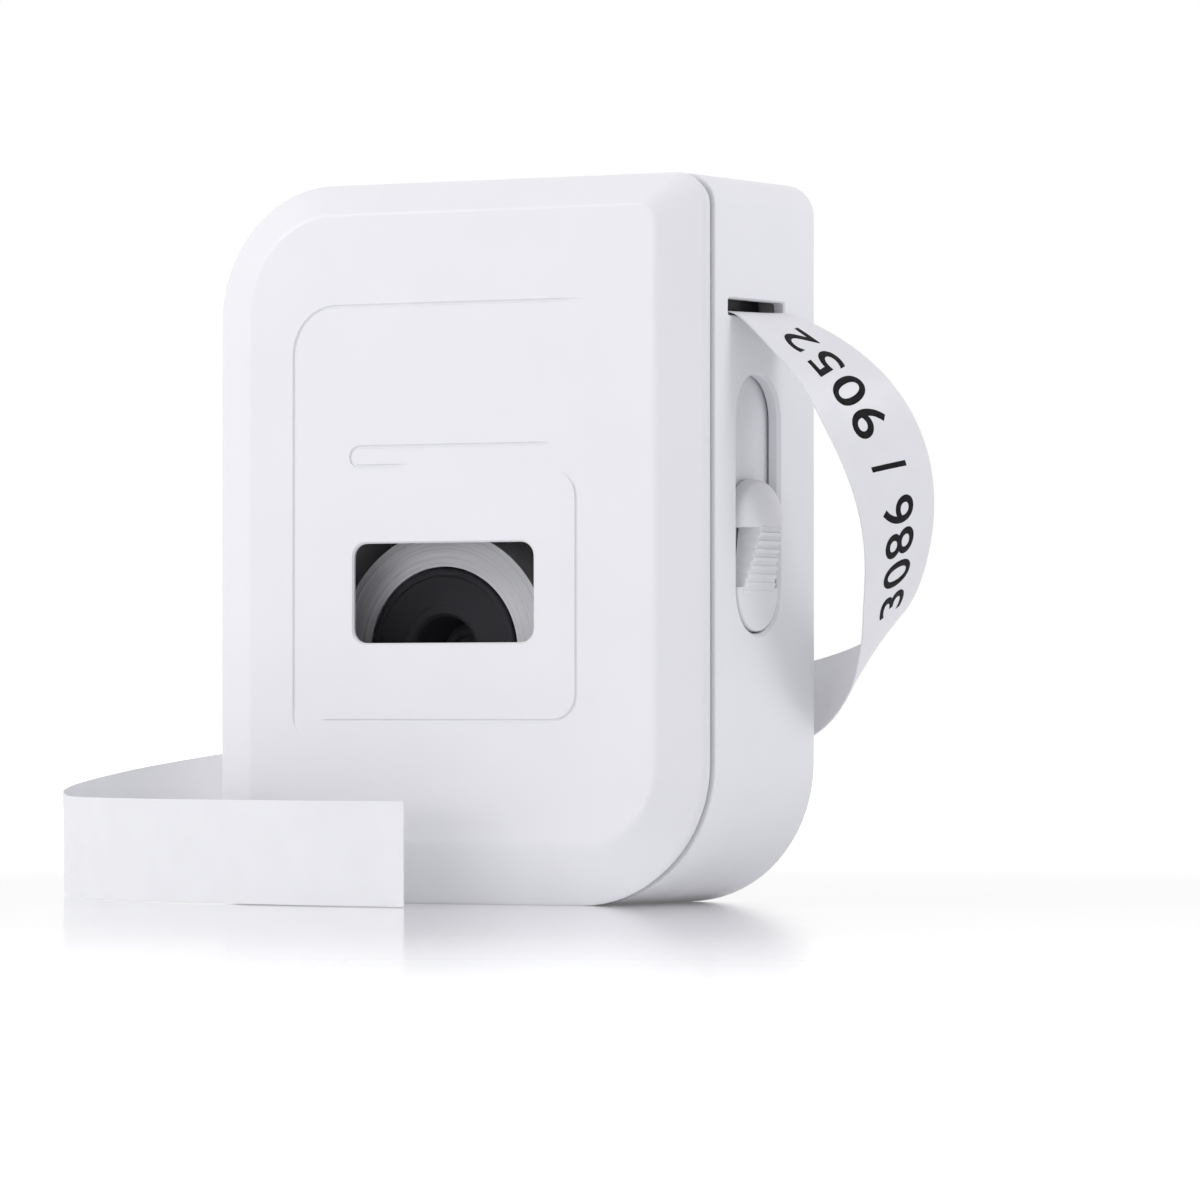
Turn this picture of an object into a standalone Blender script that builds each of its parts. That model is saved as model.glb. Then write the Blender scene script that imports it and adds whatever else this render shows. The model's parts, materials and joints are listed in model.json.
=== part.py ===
"""Desktop label maker: a hinged front cover, a deep rear housing, a tape roll, a feed and print
mechanism, a sliding cutter and the printed label strip that it has just fed out.

Sizes below are millimetres and are turned into metres by MM. X runs to the tape outlet, Y to the
back and Z up. The origin is the middle of the base."""

import math

import bmesh
import bpy
from mathutils import Vector

MM = 0.001

# Case
WIDTH = 82.0
HEIGHT = 105.0
FRONT_Y = -18.3
CHAMFER_DEPTH = 3.0
COVER_SIDE = 2.4
REVEAL = 0.6
REAR_Y = 18.5
WALL = 1.8
GAP = 0.3
REAR_FILLET = 2.0
CORNER_RADII = {"bottom_left": 4.7, "bottom_right": 20.5, "top_right": 4.7, "top_left": 19.4}
FACE_RADII = {"bottom_left": 2.5, "bottom_right": 11.5, "top_right": 2.5, "top_left": 14.5}
FACE_INSET = {"left": 6.7, "right": 6.8, "bottom": 8.7, "top": 4.5}
CHAMFER_START_Y = FRONT_Y + CHAMFER_DEPTH
PARTING_Y = CHAMFER_START_Y + COVER_SIDE
HOUSING_FRONT_Y = PARTING_Y + GAP
LEFT_X = -WIDTH / 2
RIGHT_X = WIDTH / 2
INNER_RIGHT_X = RIGHT_X - WALL
INNER_REAR_Y = REAR_Y - WALL

# Front cover details
WINDOW_X = (-16.3, 14.1)
WINDOW_Z = (37.9, 52.4)
WINDOW_RADIUS = 2.1
WINDOW_LIP = 0.6
LENS_MARGIN = 1.6
LENS_THICK = 0.8
GROOVE_WIDTH = 0.56
HINGE_RADIUS = 1.1
HINGE_BORE = 0.65
HINGE_PIN = 0.38
HINGE_CLEARANCE = 0.35
KNUCKLE = 4.0
HINGE_BASES_Z = (14.0, 64.0)
SNAP_TABS_Z = ((26.0, 31.0), (90.5, 95.5))

# Chassis plate
PLATE_Y = (8.3, 9.8)
PLATE_SCREWS = ((-33.0, 8.0), (23.0, 8.0), (-28.0, 92.5), (33.0, 98.0))
PLATE_HOLE = 1.4
BOSS_RADIUS = 2.7
BOSS_HOLE = 1.3
PLATEN_HOLE = 2.6
MOTOR_HOLE = 2.4
SPINDLE_HOLE = 2.3
IDLER_HOLE = 1.3

# Tape
TAPE_WIDTH = 15.0
TAPE_THICK = 0.2
TAPE_Z = 85.2
ROLL_X = -7.4
ROLL_Z = 36.6
ROLL_RADIUS = 17.9
CORE_RADIUS = 12.3
CORE_BORE = 5.3
GUIDE_RADIUS = 3.0
WEB_X = ROLL_X - ROLL_RADIUS - GAP - TAPE_THICK / 2
GUIDE_X = WEB_X + GUIDE_RADIUS + GAP + TAPE_THICK / 2
GUIDE_Z = TAPE_Z - GUIDE_RADIUS - GAP - TAPE_THICK / 2
CUT_X = 37.4

# Feed drive
PLATEN_X = 27.0
PLATEN_RADIUS = 4.0
PLATEN_Z = TAPE_Z - PLATEN_RADIUS - GAP - TAPE_THICK / 2
MOTOR_X = 24.0
MOTOR_Z = 62.8
MODULE = 0.5
PINION_TEETH = 12
LARGE_TEETH = 30
SMALL_TEETH = 12
PLATEN_TEETH = 24
FRONT_GEARS_Y = (10.2, 12.2)
REAR_GEARS_Y = (12.9, 14.9)

# Cutter
RECESS_Y = (-6.1, 6.5)
RECESS_Z = (39.1, 76.5)
SLIDER_CLEARANCE = 0.35
SLIDER_Z = (RECESS_Z[0] + SLIDER_CLEARANCE, 61.4)
GRIP_MIDDLE_Y = 0.2
GRIP_TOP_Z = 54.4
GRIP_FOOT_Z = 44.8
GRIP_PROUD = 2.5
GRIP_HALF_WIDE = 4.8
GRIP_HALF_NARROW = 2.9
GRIP_RIBS = 8
DOME_RADIUS = 8.33
STEM_Y = (-1.1, 1.5)
STEM_Z = (41.2, 46.2)
STEM_SLOT_Y = (-1.6, 2.0)
STEM_SLOT_Z = (40.8, 60.8)
SLOT_Y = (-8.7, 8.1)
SLOT_Z = (84.8, 87.2)

# Controls on the left side
CONTROL_Y = 12.3
BUTTON_Z = 50.0
BUTTON_SIZE = (3.2, 9.2)
BUTTON_HOLE = (3.9, 9.9)
BUTTON_FLANGE = (4.6, 10.6)
LIGHT_Z = 40.0
LIGHT_RADIUS = 1.0
LIGHT_HOLE = 1.3
USB_Z = 27.0
USB_SIZE = (3.2, 8.9)
USB_HOLE = (3.8, 9.6)
USB_MOUTH = (2.5, 8.2)

# Centre line of the printed strip, and the direction across its width at each point, from its
# lower or front edge to its upper or rear edge.
STRIP_ROUTE = (
    ((38.0, -0.3, 85.2), (0.0, 1.0, 0.0)),
    ((41.8, -0.2, 85.1), (0.0, 1.0, 0.05)),
    ((48.0, 0.7, 80.9), (0.0, 1.0, 0.3)),
    ((52.6, 1.9, 76.5), (0.13, 0.92, 0.38)),
    ((55.6, 3.2, 72.1), (0.27, 0.86, 0.43)),
    ((57.9, 5.5, 66.6), (0.34, 0.81, 0.48)),
    ((58.6, 8.7, 60.4), (0.35, 0.81, 0.47)),
    ((57.5, 12.4, 53.6), (0.29, 0.87, 0.40)),
    ((54.6, 16.4, 46.2), (0.17, 0.93, 0.34)),
    ((51.0, 19.9, 39.8), (0.03, 0.90, 0.43)),
    ((45.8, 23.2, 34.6), (-0.11, 0.80, 0.58)),
    ((38.0, 26.6, 30.6), (-0.17, 0.64, 0.75)),
    ((26.0, 30.0, 27.4), (-0.12, 0.45, 0.88)),
    ((5.0, 32.8, 24.0), (-0.02, 0.26, 0.96)),
    ((-20.0, 34.2, 20.6), (0.05, 0.12, 0.99)),
    ((-45.0, 34.0, 17.4), (0.05, 0.07, 0.99)),
    ((-62.0, 32.6, 15.2), (0.08, 0.04, 0.99)),
    ((-75.0, 30.0, 13.2), (0.10, 0.0, 0.99)),
    ((-83.5, 25.0, 11.4), (0.10, -0.05, 0.99)),
    ((-87.0, 17.5, 9.8), (0.05, -0.08, 0.99)),
    ((-85.0, 9.0, 8.6), (0.0, -0.05, 1.0)),
    ((-79.0, 0.0, 7.8), (0.0, 0.0, 1.0)),
    ((-70.0, -10.0, 7.65), (0.0, 0.0, 1.0)),
    ((-58.0, -20.0, 7.65), (0.0, 0.0, 1.0)),
    ((-43.0, -28.5, 7.65), (0.0, 0.0, 1.0)),
    ((-27.0, -34.0, 7.65), (0.0, 0.0, 1.0)),
    ((-11.0, -37.3, 7.65), (0.0, 0.0, 1.0)),
    ((5.0, -39.0, 7.65), (0.0, 0.0, 1.0)),
)
STRIP_STEPS = 4

AXIS_TURNS = {"X": (0.0, math.pi / 2, 0.0), "Y": (math.pi / 2, 0.0, 0.0), "Z": (0.0, 0.0, 0.0)}
PLANE_TURNS = {
    "X": (math.pi / 2, 0.0, math.pi / 2),
    "Y": (math.pi / 2, 0.0, 0.0),
    "Z": (0.0, 0.0, 0.0),
}


def clear_scene():
    for obj in list(bpy.data.objects):
        bpy.data.objects.remove(obj, do_unlink=True)


def new_collection(name):
    made = bpy.data.collections.new(name)
    bpy.context.scene.collection.children.link(made)
    return made


def new_material(name, colour, roughness, metallic=0.0, alpha=1.0):
    made = bpy.data.materials.new(name)
    made.use_nodes = True
    shader = made.node_tree.nodes["Principled BSDF"]
    shader.inputs["Base Color"].default_value = (*colour, 1.0)
    shader.inputs["Roughness"].default_value = roughness
    shader.inputs["Metallic"].default_value = metallic
    shader.inputs["Alpha"].default_value = alpha
    made.diffuse_color = (*colour, 1.0)
    return made


clear_scene()
PARTS = new_collection("label_maker")
CUTTERS = new_collection("cutters")
WHITE = new_material("white_plastic", (0.86, 0.86, 0.88), 0.42)
CLEAR = new_material("clear_plastic", (0.92, 0.94, 0.95), 0.08, 0.0, 0.3)
GREY = new_material("grey_plastic", (0.32, 0.33, 0.35), 0.5)
INNER = new_material("inner_plastic", (0.6, 0.6, 0.62), 0.5)
DARK = new_material("dark_plastic", (0.03, 0.028, 0.035), 0.55)
PAPER = new_material("label_paper", (0.9, 0.9, 0.92), 0.6)
RUBBER = new_material("rubber", (0.05, 0.05, 0.055), 0.8)
STEEL = new_material("steel", (0.62, 0.63, 0.65), 0.3, 1.0)
ALUMINIUM = new_material("aluminium", (0.78, 0.79, 0.8), 0.4, 1.0)
BRASS = new_material("brass", (0.78, 0.6, 0.3), 0.35, 1.0)
ACETAL = new_material("gear_plastic", (0.83, 0.82, 0.78), 0.4)
BOARD = new_material("circuit_board", (0.03, 0.2, 0.09), 0.45)
CELL = new_material("battery_wrap", (0.16, 0.22, 0.4), 0.45)
CERAMIC = new_material("head_ceramic", (0.42, 0.4, 0.37), 0.35)
RED = new_material("lead_insulation", (0.6, 0.05, 0.04), 0.5)


def finish(obj, finish_material, collection):
    """Gives an object its material and its place in a collection, and hides it if it is a cutter."""
    collection.objects.link(obj)
    if collection is CUTTERS:
        obj.hide_render = True
        obj.display_type = "WIRE"
    else:
        obj.data.materials.append(finish_material)
    return obj


def object_from_bmesh(name, shape, finish_material, collection, centre, turn=(0.0, 0.0, 0.0)):
    mesh = bpy.data.meshes.new(name)
    bmesh.ops.recalc_face_normals(shape, faces=shape.faces)
    shape.to_mesh(mesh)
    shape.free()
    obj = bpy.data.objects.new(name, mesh)
    obj.location = [value * MM for value in centre]
    obj.rotation_euler = turn
    return finish(obj, finish_material, collection)


def box(name, low, high, finish_material=None, edge=0.0, collection=PARTS):
    """A block from its low corner to its high corner, with rounded edges if edge is given."""
    shape = bmesh.new()
    bmesh.ops.create_cube(shape, size=1.0)
    sides = [(b - a) * MM for a, b in zip(low, high)]
    bmesh.ops.scale(shape, vec=sides, verts=shape.verts)
    centre = [(a + b) / 2 for a, b in zip(low, high)]
    obj = object_from_bmesh(name, shape, finish_material, collection, centre)
    if edge:
        add_bevel(obj, edge)
    return obj


def add_bevel(obj, width, segments=2, angle=40.0):
    modifier = obj.modifiers.new("rounded_edges", "BEVEL")
    modifier.width = width * MM
    modifier.segments = segments
    modifier.limit_method = "ANGLE"
    modifier.angle_limit = math.radians(angle)
    return obj


def cylinder(name, axis, centre, radius, length, finish_material=None, sides=32, collection=PARTS):
    shape = bmesh.new()
    bmesh.ops.create_cone(
        shape, cap_ends=True, segments=sides, radius1=radius * MM, radius2=radius * MM, depth=length * MM
    )
    obj = object_from_bmesh(name, shape, finish_material, collection, centre, AXIS_TURNS[axis])
    obj.data.shade_smooth()
    obj.data.set_sharp_from_angle(angle=math.radians(40))
    return obj


def turned(name, profile, centre, finish_material, steps=28, axis="Y"):
    """A profile of (radius, height) points, from the top down the outer side, spun about an axis."""
    mesh = bpy.data.meshes.new(name)
    points = [(radius * MM, 0.0, height * MM) for radius, height in profile]
    mesh.from_pydata(points, [(i, i + 1) for i in range(len(points) - 1)], [])
    obj = bpy.data.objects.new(name, mesh)
    obj.location = [value * MM for value in centre]
    obj.rotation_euler = AXIS_TURNS[axis]
    finish(obj, finish_material, PARTS)
    spin = obj.modifiers.new("spin", "SCREW")
    spin.steps = steps
    spin.render_steps = steps
    spin.use_merge_vertices = True
    spin.merge_threshold = 0.00001
    spin.use_smooth_shade = True
    return obj


def ring_profile(inner, outer, height):
    """The closed section of a ring, for turned()."""
    half = height / 2
    return ((inner, half), (outer, half), (outer, -half), (inner, -half), (inner, half))


def arc(centre, radius, start, end, steps):
    """Points along an arc, angles in degrees, both ends included."""
    points = []
    for i in range(steps + 1):
        angle = math.radians(start + (end - start) * i / steps)
        points.append((centre[0] + radius * math.cos(angle), centre[1] + radius * math.sin(angle)))
    return points


def rounded_rectangle(x_range, z_range, radii, steps=8):
    """A rectangle with its own radius at each corner, counter-clockwise from the bottom left."""
    (x0, x1), (z0, z1) = x_range, z_range
    bl, br = radii["bottom_left"], radii["bottom_right"]
    tr, tl = radii["top_right"], radii["top_left"]
    points = arc((x0 + bl, z0 + bl), bl, 180, 270, steps)
    points += arc((x1 - br, z0 + br), br, 270, 360, steps)
    points += arc((x1 - tr, z1 - tr), tr, 0, 90, steps)
    points += arc((x0 + tl, z1 - tl), tl, 90, 180, steps)
    return points


def even_radii(radius):
    return dict.fromkeys(CORNER_RADII, radius)


def case_outline(inset, steps=8):
    """The case's outline seen from the front, moved inwards by inset."""
    radii = {corner: max(radius - inset, 0.4) for corner, radius in CORNER_RADII.items()}
    x_range = (LEFT_X + inset, RIGHT_X - inset)
    return rounded_rectangle(x_range, (inset, HEIGHT - inset), radii, steps)


def face_outline(inset):
    """The outline of the cover's flat front face, moved inwards by inset."""
    radii = {corner: max(radius - inset, 0.4) for corner, radius in FACE_RADII.items()}
    x_range = (LEFT_X + FACE_INSET["left"] + inset, RIGHT_X - FACE_INSET["right"] - inset)
    z_range = (FACE_INSET["bottom"] + inset, HEIGHT - FACE_INSET["top"] - inset)
    return rounded_rectangle(x_range, z_range, radii)


def plate(name, axis, span, loops, finish_material=None, collection=PARTS):
    """A flat piece: closed 2D loops, holes included, made solid between two places along an axis."""
    curve = bpy.data.curves.new(name, "CURVE")
    curve.dimensions = "2D"
    curve.fill_mode = "BOTH"
    curve.extrude = (span[1] - span[0]) / 2 * MM
    for loop in loops:
        spline = curve.splines.new("POLY")
        spline.points.add(len(loop) - 1)
        for point, (u, v) in zip(spline.points, loop):
            point.co = (u * MM, v * MM, 0.0, 1.0)
        spline.use_cyclic_u = True
    drawn = bpy.data.objects.new(name + "_outline", curve)
    drawn.rotation_euler = PLANE_TURNS[axis]
    drawn.location["XYZ".index(axis)] = (span[0] + span[1]) / 2 * MM
    return curve_to_mesh(drawn, name, finish_material, collection)


def curve_to_mesh(drawn, name, finish_material, collection):
    """Turns a curve object into a mesh object with its caps welded, and removes the curve."""
    bpy.context.scene.collection.objects.link(drawn)
    bpy.context.view_layer.update()
    graph = bpy.context.evaluated_depsgraph_get()
    mesh = bpy.data.meshes.new_from_object(drawn.evaluated_get(graph))
    shape = bmesh.new()
    shape.from_mesh(mesh)
    bmesh.ops.remove_doubles(shape, verts=shape.verts, dist=0.000001)
    bmesh.ops.recalc_face_normals(shape, faces=shape.faces)
    shape.to_mesh(mesh)
    shape.free()
    mesh.name = name
    obj = bpy.data.objects.new(name, mesh)
    obj.matrix_world = drawn.matrix_world.copy()
    bpy.data.objects.remove(drawn, do_unlink=True)
    return finish(obj, finish_material, collection)


def tube(name, points, radius, finish_material=None, collection=PARTS, resolution=2):
    """A round wire or rod along a line of points, with closed ends."""
    curve = bpy.data.curves.new(name, "CURVE")
    curve.dimensions = "3D"
    curve.bevel_depth = radius * MM
    curve.bevel_resolution = resolution
    curve.use_fill_caps = True
    spline = curve.splines.new("POLY")
    spline.points.add(len(points) - 1)
    for point, place in zip(spline.points, points):
        point.co = (*[value * MM for value in place], 1.0)
    drawn = bpy.data.objects.new(name + "_line", curve)
    return curve_to_mesh(drawn, name, finish_material, collection)


def loft(name, sections, finish_material=None, collection=PARTS):
    """Joins outlines given as (Y, points) with faces, and closes both ends."""
    shape = bmesh.new()
    rings = []
    for y, outline in sections:
        rings.append([shape.verts.new((x * MM, y * MM, z * MM)) for x, z in outline])
    count = len(rings[0])
    for near, far in zip(rings, rings[1:]):
        for i in range(count):
            j = (i + 1) % count
            shape.faces.new((near[i], near[j], far[j], far[i]))
    shape.faces.new(rings[0])
    shape.faces.new(rings[-1])
    obj = object_from_bmesh(name, shape, finish_material, collection, (0.0, 0.0, 0.0))
    obj.data.shade_smooth()
    obj.data.set_sharp_from_angle(angle=math.radians(25))
    return obj


def combine(obj, others, operation):
    """Adds one Boolean to obj for each other object."""
    for other in others:
        modifier = obj.modifiers.new(operation.lower(), "BOOLEAN")
        modifier.operation = operation
        modifier.object = other
    return obj


def cut(obj, *cutters):
    return combine(obj, cutters, "DIFFERENCE")


def join(obj, *others):
    return combine(obj, others, "UNION")


def pill(y_range, z_range, steps=10):
    """An upright slot outline with round ends."""
    radius = (y_range[1] - y_range[0]) / 2
    middle = sum(y_range) / 2
    lower = arc((middle, z_range[0] + radius), radius, 180, 360, steps)
    return lower + arc((middle, z_range[1] - radius), radius, 0, 180, steps)


def knuckle_spans(base):
    """The heights of one hinge's three knuckles: cover, housing, cover."""
    first = (base, base + KNUCKLE)
    middle = (first[1] + GAP, first[1] + GAP + KNUCKLE)
    return first, middle, (middle[1] + GAP, middle[1] + GAP + KNUCKLE)


def knuckle(name, span, radius, grow=0.0):
    centre = (LEFT_X, PARTING_Y, sum(span) / 2)
    length = span[1] - span[0] + 2 * grow
    return cylinder(name, "Z", centre, radius, length, sides=24, collection=CUTTERS)


def groove(name, path):
    """A cutter for one fine line pressed into the cover's face."""
    points = [(x, FRONT_Y, z) for x, z in path]
    return tube(name, points, GROOVE_WIDTH / 2, collection=CUTTERS, resolution=1)


def groove_paths():
    """Three open rounded lines, nested round the window."""
    outer = [(23.6, 87.1)] + arc((-19.5, 80.1), 7.0, 90, 180, 7) + arc((-23.5, 27.0), 3.0, 180, 235, 4)
    inner = [(-21.8, 26.6)] + arc((17.4, 30.5), 3.9, 270, 360, 6) + arc((17.8, 59.0), 3.5, 0, 80, 5)
    upper = [(16.8, 66.5)] + arc((-15.4, 65.1), 1.4, 90, 270, 6) + [(-6.0, 63.7)]
    return {"groove_outer": outer, "groove_inner": inner, "groove_upper": upper}


def front_cover():
    cover = loft(
        "front_cover",
        (
            (PARTING_Y, case_outline(REVEAL)),
            (CHAMFER_START_Y + 0.5, case_outline(REVEAL)),
            (CHAMFER_START_Y + 0.3, case_outline(0.0)),
            (CHAMFER_START_Y, case_outline(0.0)),
            (CHAMFER_START_Y - 0.35, case_outline(0.3)),
            (FRONT_Y + 0.2, face_outline(-0.9)),
            (FRONT_Y, face_outline(0.0)),
        ),
        WHITE,
    )
    cavity = loft(
        "cover_cavity",
        (
            (PARTING_Y + 1.0, case_outline(WALL)),
            (CHAMFER_START_Y + 0.6, case_outline(WALL)),
            (FRONT_Y + WALL, face_outline(0.9)),
        ),
        collection=CUTTERS,
    )
    through = (FRONT_Y - 1, FRONT_Y + 3)
    window = plate("window_cutter", "Y", through, [lens_outline(0.0)], collection=CUTTERS)
    seat_depth = (FRONT_Y + WINDOW_LIP, FRONT_Y + 3)
    seat = plate("lens_seat", "Y", seat_depth, [lens_outline(LENS_MARGIN + GAP)], collection=CUTTERS)
    cut(cover, cavity)
    for index, (low, high) in enumerate(SNAP_TABS_Z):
        tab = box(
            f"snap_tab_{index}",
            (INNER_RIGHT_X - 1.8, CHAMFER_START_Y - 0.2, low),
            (INNER_RIGHT_X - GAP, PARTING_Y + 3.2, high),
            collection=CUTTERS,
        )
        join(cover, tab)
    for index, base in enumerate(HINGE_BASES_Z):
        first, middle, last = knuckle_spans(base)
        cut(cover, knuckle(f"cover_notch_{index}", middle, HINGE_RADIUS + HINGE_CLEARANCE, GAP))
        join(cover, knuckle(f"cover_knuckle_{index}a", first, HINGE_RADIUS))
        join(cover, knuckle(f"cover_knuckle_{index}b", last, HINGE_RADIUS))
        cut(cover, knuckle(f"cover_bore_{index}", (first[0], last[1]), HINGE_BORE, 1.0))
    cut(cover, window, seat)
    for name, path in groove_paths().items():
        cut(cover, groove(name, path))
    return cover


def lens_outline(margin):
    """The window's outline, widened by margin."""
    x_range = (WINDOW_X[0] - margin, WINDOW_X[1] + margin)
    z_range = (WINDOW_Z[0] - margin, WINDOW_Z[1] + margin)
    return rounded_rectangle(x_range, z_range, even_radii(WINDOW_RADIUS + margin / 2), 5)


def window_lens():
    front = FRONT_Y + WINDOW_LIP + GAP
    return plate("window_lens", "Y", (front, front + LENS_THICK), [lens_outline(LENS_MARGIN)], CLEAR)


def fillet_sections(start_y, radius, steps=4):
    """Sections of the case's rounded rear edge."""
    sections = []
    for i in range(1, steps + 1):
        angle = math.pi / 2 * i / steps
        inset = radius * (1 - math.cos(angle))
        sections.append((start_y + radius * math.sin(angle), case_outline(inset)))
    return sections


def rear_housing():
    straight_end = REAR_Y - REAR_FILLET
    sections = [(HOUSING_FRONT_Y, case_outline(0.0)), (straight_end, case_outline(0.0))]
    housing = loft("rear_housing", sections + fillet_sections(straight_end, REAR_FILLET), WHITE)
    inside = plate(
        "housing_cavity", "Y", (HOUSING_FRONT_Y - 2, INNER_REAR_Y), [case_outline(WALL)], collection=CUTTERS
    )
    cut(housing, inside)
    for index, (x, z) in enumerate(PLATE_SCREWS):
        depth = INNER_REAR_Y - PLATE_Y[1] - GAP + 0.4
        centre = (x, INNER_REAR_Y + 0.4 - depth / 2, z)
        boss = cylinder(f"boss_{index}", "Y", centre, BOSS_RADIUS, depth, sides=20, collection=CUTTERS)
        join(housing, boss)
        hole = (x, PLATE_Y[1] + 2.5, z)
        cut(housing, cylinder(f"boss_hole_{index}", "Y", hole, BOSS_HOLE, 5.6, sides=16, collection=CUTTERS))
    for index, base in enumerate(HINGE_BASES_Z):
        first, middle, last = knuckle_spans(base)
        cut(housing, knuckle(f"housing_notch_{index}a", first, HINGE_RADIUS + HINGE_CLEARANCE, GAP))
        cut(housing, knuckle(f"housing_notch_{index}b", last, HINGE_RADIUS + HINGE_CLEARANCE, GAP))
        join(housing, knuckle(f"housing_knuckle_{index}", middle, HINGE_RADIUS))
        cut(housing, knuckle(f"housing_bore_{index}", (first[0], last[1]), HINGE_BORE, 1.0))
    right = (INNER_RIGHT_X - 1, RIGHT_X + 1)
    left = (LEFT_X - 1, LEFT_X + WALL + 1)
    recess = plate("recess_cutter", "X", right, [pill(RECESS_Y, RECESS_Z)], collection=CUTTERS)
    slot = box("slot_cutter", (right[0], SLOT_Y[0], SLOT_Z[0]), (right[1], SLOT_Y[1], SLOT_Z[1]),
               collection=CUTTERS)
    button = plate("button_cutter", "X", left, [control_pill(BUTTON_Z, BUTTON_HOLE)], collection=CUTTERS)
    usb = plate("usb_cutter", "X", left, [control_pill(USB_Z, USB_HOLE)], collection=CUTTERS)
    light = cylinder("light_cutter", "X", (LEFT_X, CONTROL_Y, LIGHT_Z), LIGHT_HOLE, 6.0, sides=16,
                     collection=CUTTERS)
    return cut(housing, recess, slot, button, usb, light)


def control_pill(height, size, steps=10):
    """A control's slot outline, given the height of its middle and its (width, height)."""
    y_range = (CONTROL_Y - size[0] / 2, CONTROL_Y + size[0] / 2)
    return pill(y_range, (height - size[1] / 2, height + size[1] / 2), steps)


def chassis_plate():
    holes = [arc((x, z), PLATE_HOLE, 0, 345, 15) for x, z in PLATE_SCREWS]
    holes.append(arc((PLATEN_X, PLATEN_Z), PLATEN_HOLE, 0, 345, 15))
    holes.append(arc((MOTOR_X, MOTOR_Z), MOTOR_HOLE, 0, 345, 15))
    holes.append(arc((ROLL_X, ROLL_Z), SPINDLE_HOLE, 0, 345, 15))
    holes.append(arc(idler_centre(), IDLER_HOLE, 0, 345, 15))
    holes.append(rounded_rectangle((8.0, 13.0), (88.0, 90.5), even_radii(0.5), 2))
    base = plate("chassis_plate", "Y", PLATE_Y, [case_outline(WALL + GAP)] + holes, INNER)
    stop = box(
        "spring_stop",
        (32.4, -2.0, 81.9), (36.2, PLATE_Y[0] + 0.4, 83.3), collection=CUTTERS,
    )
    guide_post = cylinder("guide_post", "Y", (GUIDE_X, PLATE_Y[0] - 8.1, GUIDE_Z), 1.2, 17.0, sides=16,
                          collection=CUTTERS)
    return join(base, stop, guide_post)


def plate_screw(name, x, z):
    """A small pan-head screw, driven in from the front."""
    profile = ((0.0, 1.1), (1.2, 1.1), (1.9, 0.5), (1.9, 0.0), (1.0, 0.0), (1.0, -5.5), (0.0, -6.0))
    return turned(name, profile, (x, PLATE_Y[0] - GAP, z), STEEL, 16)


def roll_pieces():
    core = turned("tape_core", ring_profile(CORE_BORE, CORE_RADIUS, 15.6), (ROLL_X, 0.0, ROLL_Z), DARK, 48)
    add_bevel(core, 0.25, 1)
    winding = turned(
        "tape_winding",
        ring_profile(CORE_RADIUS + GAP, ROLL_RADIUS, TAPE_WIDTH), (ROLL_X, 0.0, ROLL_Z), PAPER, 60,
    )
    return core, winding


def roll_spindle():
    """The post that the roll turns on, pressed into the chassis plate."""
    back = PLATE_Y[1]
    profile = ((0.0, 11.0), (3.4, 11.0), (4.2, 10.2), (4.2, 1.9), (2.0, 1.9), (2.0, 0.0), (0.0, 0.0))
    return turned("roll_spindle", profile, (ROLL_X, back, ROLL_Z), DARK, 24)


def band_loop(path, thickness):
    """The closed outline of a band of even thickness along an open path."""
    left, right = [], []
    for i, point in enumerate(path):
        before = Vector(path[max(i - 1, 0)])
        after = Vector(path[min(i + 1, len(path) - 1)])
        along = (after - before).normalized()
        side = Vector((-along.y, along.x)) * thickness / 2
        left.append(tuple(Vector(point) + side))
        right.append(tuple(Vector(point) - side))
    return left + right[::-1]


def tape_web():
    """The stretch of tape from the roll, over the guide and through the print gap to the blade."""
    bend = arc((GUIDE_X, GUIDE_Z), GUIDE_X - WEB_X, 180, 90, 8)
    path = [(WEB_X, ROLL_Z)] + bend + [(CUT_X - 0.55, TAPE_Z)]
    loop = band_loop(path, TAPE_THICK)
    return plate("tape_web", "Y", (-TAPE_WIDTH / 2, TAPE_WIDTH / 2), [loop], PAPER)


def guide_roller():
    return turned("guide_roller", ring_profile(1.5, GUIDE_RADIUS, 15.4), (GUIDE_X, 0.0, GUIDE_Z), GREY, 24)


def smooth_route(route, steps):
    """Catmull-Rom points along the route: a list of (place, direction across) as vectors."""
    places = [Vector(place) for place, _ in route]
    acrosses = [Vector(across).normalized() for _, across in route]
    result = []
    last = len(route) - 1
    for i in range(last):
        for k in range(steps + (i == last - 1)):
            t = k / steps
            result.append((spline_point(places, i, t), spline_point(acrosses, i, t)))
    return result


def spline_point(points, i, t):
    p0, p1 = points[max(i - 1, 0)], points[i]
    p2, p3 = points[i + 1], points[min(i + 2, len(points) - 1)]
    a = 2 * p1
    b = p2 - p0
    c = 2 * p0 - 5 * p1 + 4 * p2 - p3
    d = 3 * p1 - p0 - 3 * p2 + p3
    return (a + b * t + c * t * t + d * t * t * t) / 2


def label_strip():
    """The printed strip: a band of even width that curls down from the slot, passes behind the case
    and ends in a loop that stands on its edge in front of it."""
    stations = smooth_route(STRIP_ROUTE, STRIP_STEPS)
    shape = bmesh.new()
    rows = []
    for i, (place, across) in enumerate(stations):
        along = stations[min(i + 1, len(stations) - 1)][0] - stations[max(i - 1, 0)][0]
        along.normalize()
        square = (across - along * across.dot(along)).normalized()
        half = square * TAPE_WIDTH / 2
        rows.append([shape.verts.new((place + half * side) * MM) for side in (-1, 0, 1)])
    for near, far in zip(rows, rows[1:]):
        for k in range(2):
            shape.faces.new((near[k], near[k + 1], far[k + 1], far[k]))
    strip = object_from_bmesh("label_strip", shape, PAPER, PARTS, (0.0, 0.0, 0.0))
    skin = strip.modifiers.new("paper", "SOLIDIFY")
    skin.thickness = TAPE_THICK * MM
    skin.offset = 0.0
    strip.data.shade_smooth()
    return strip


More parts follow.
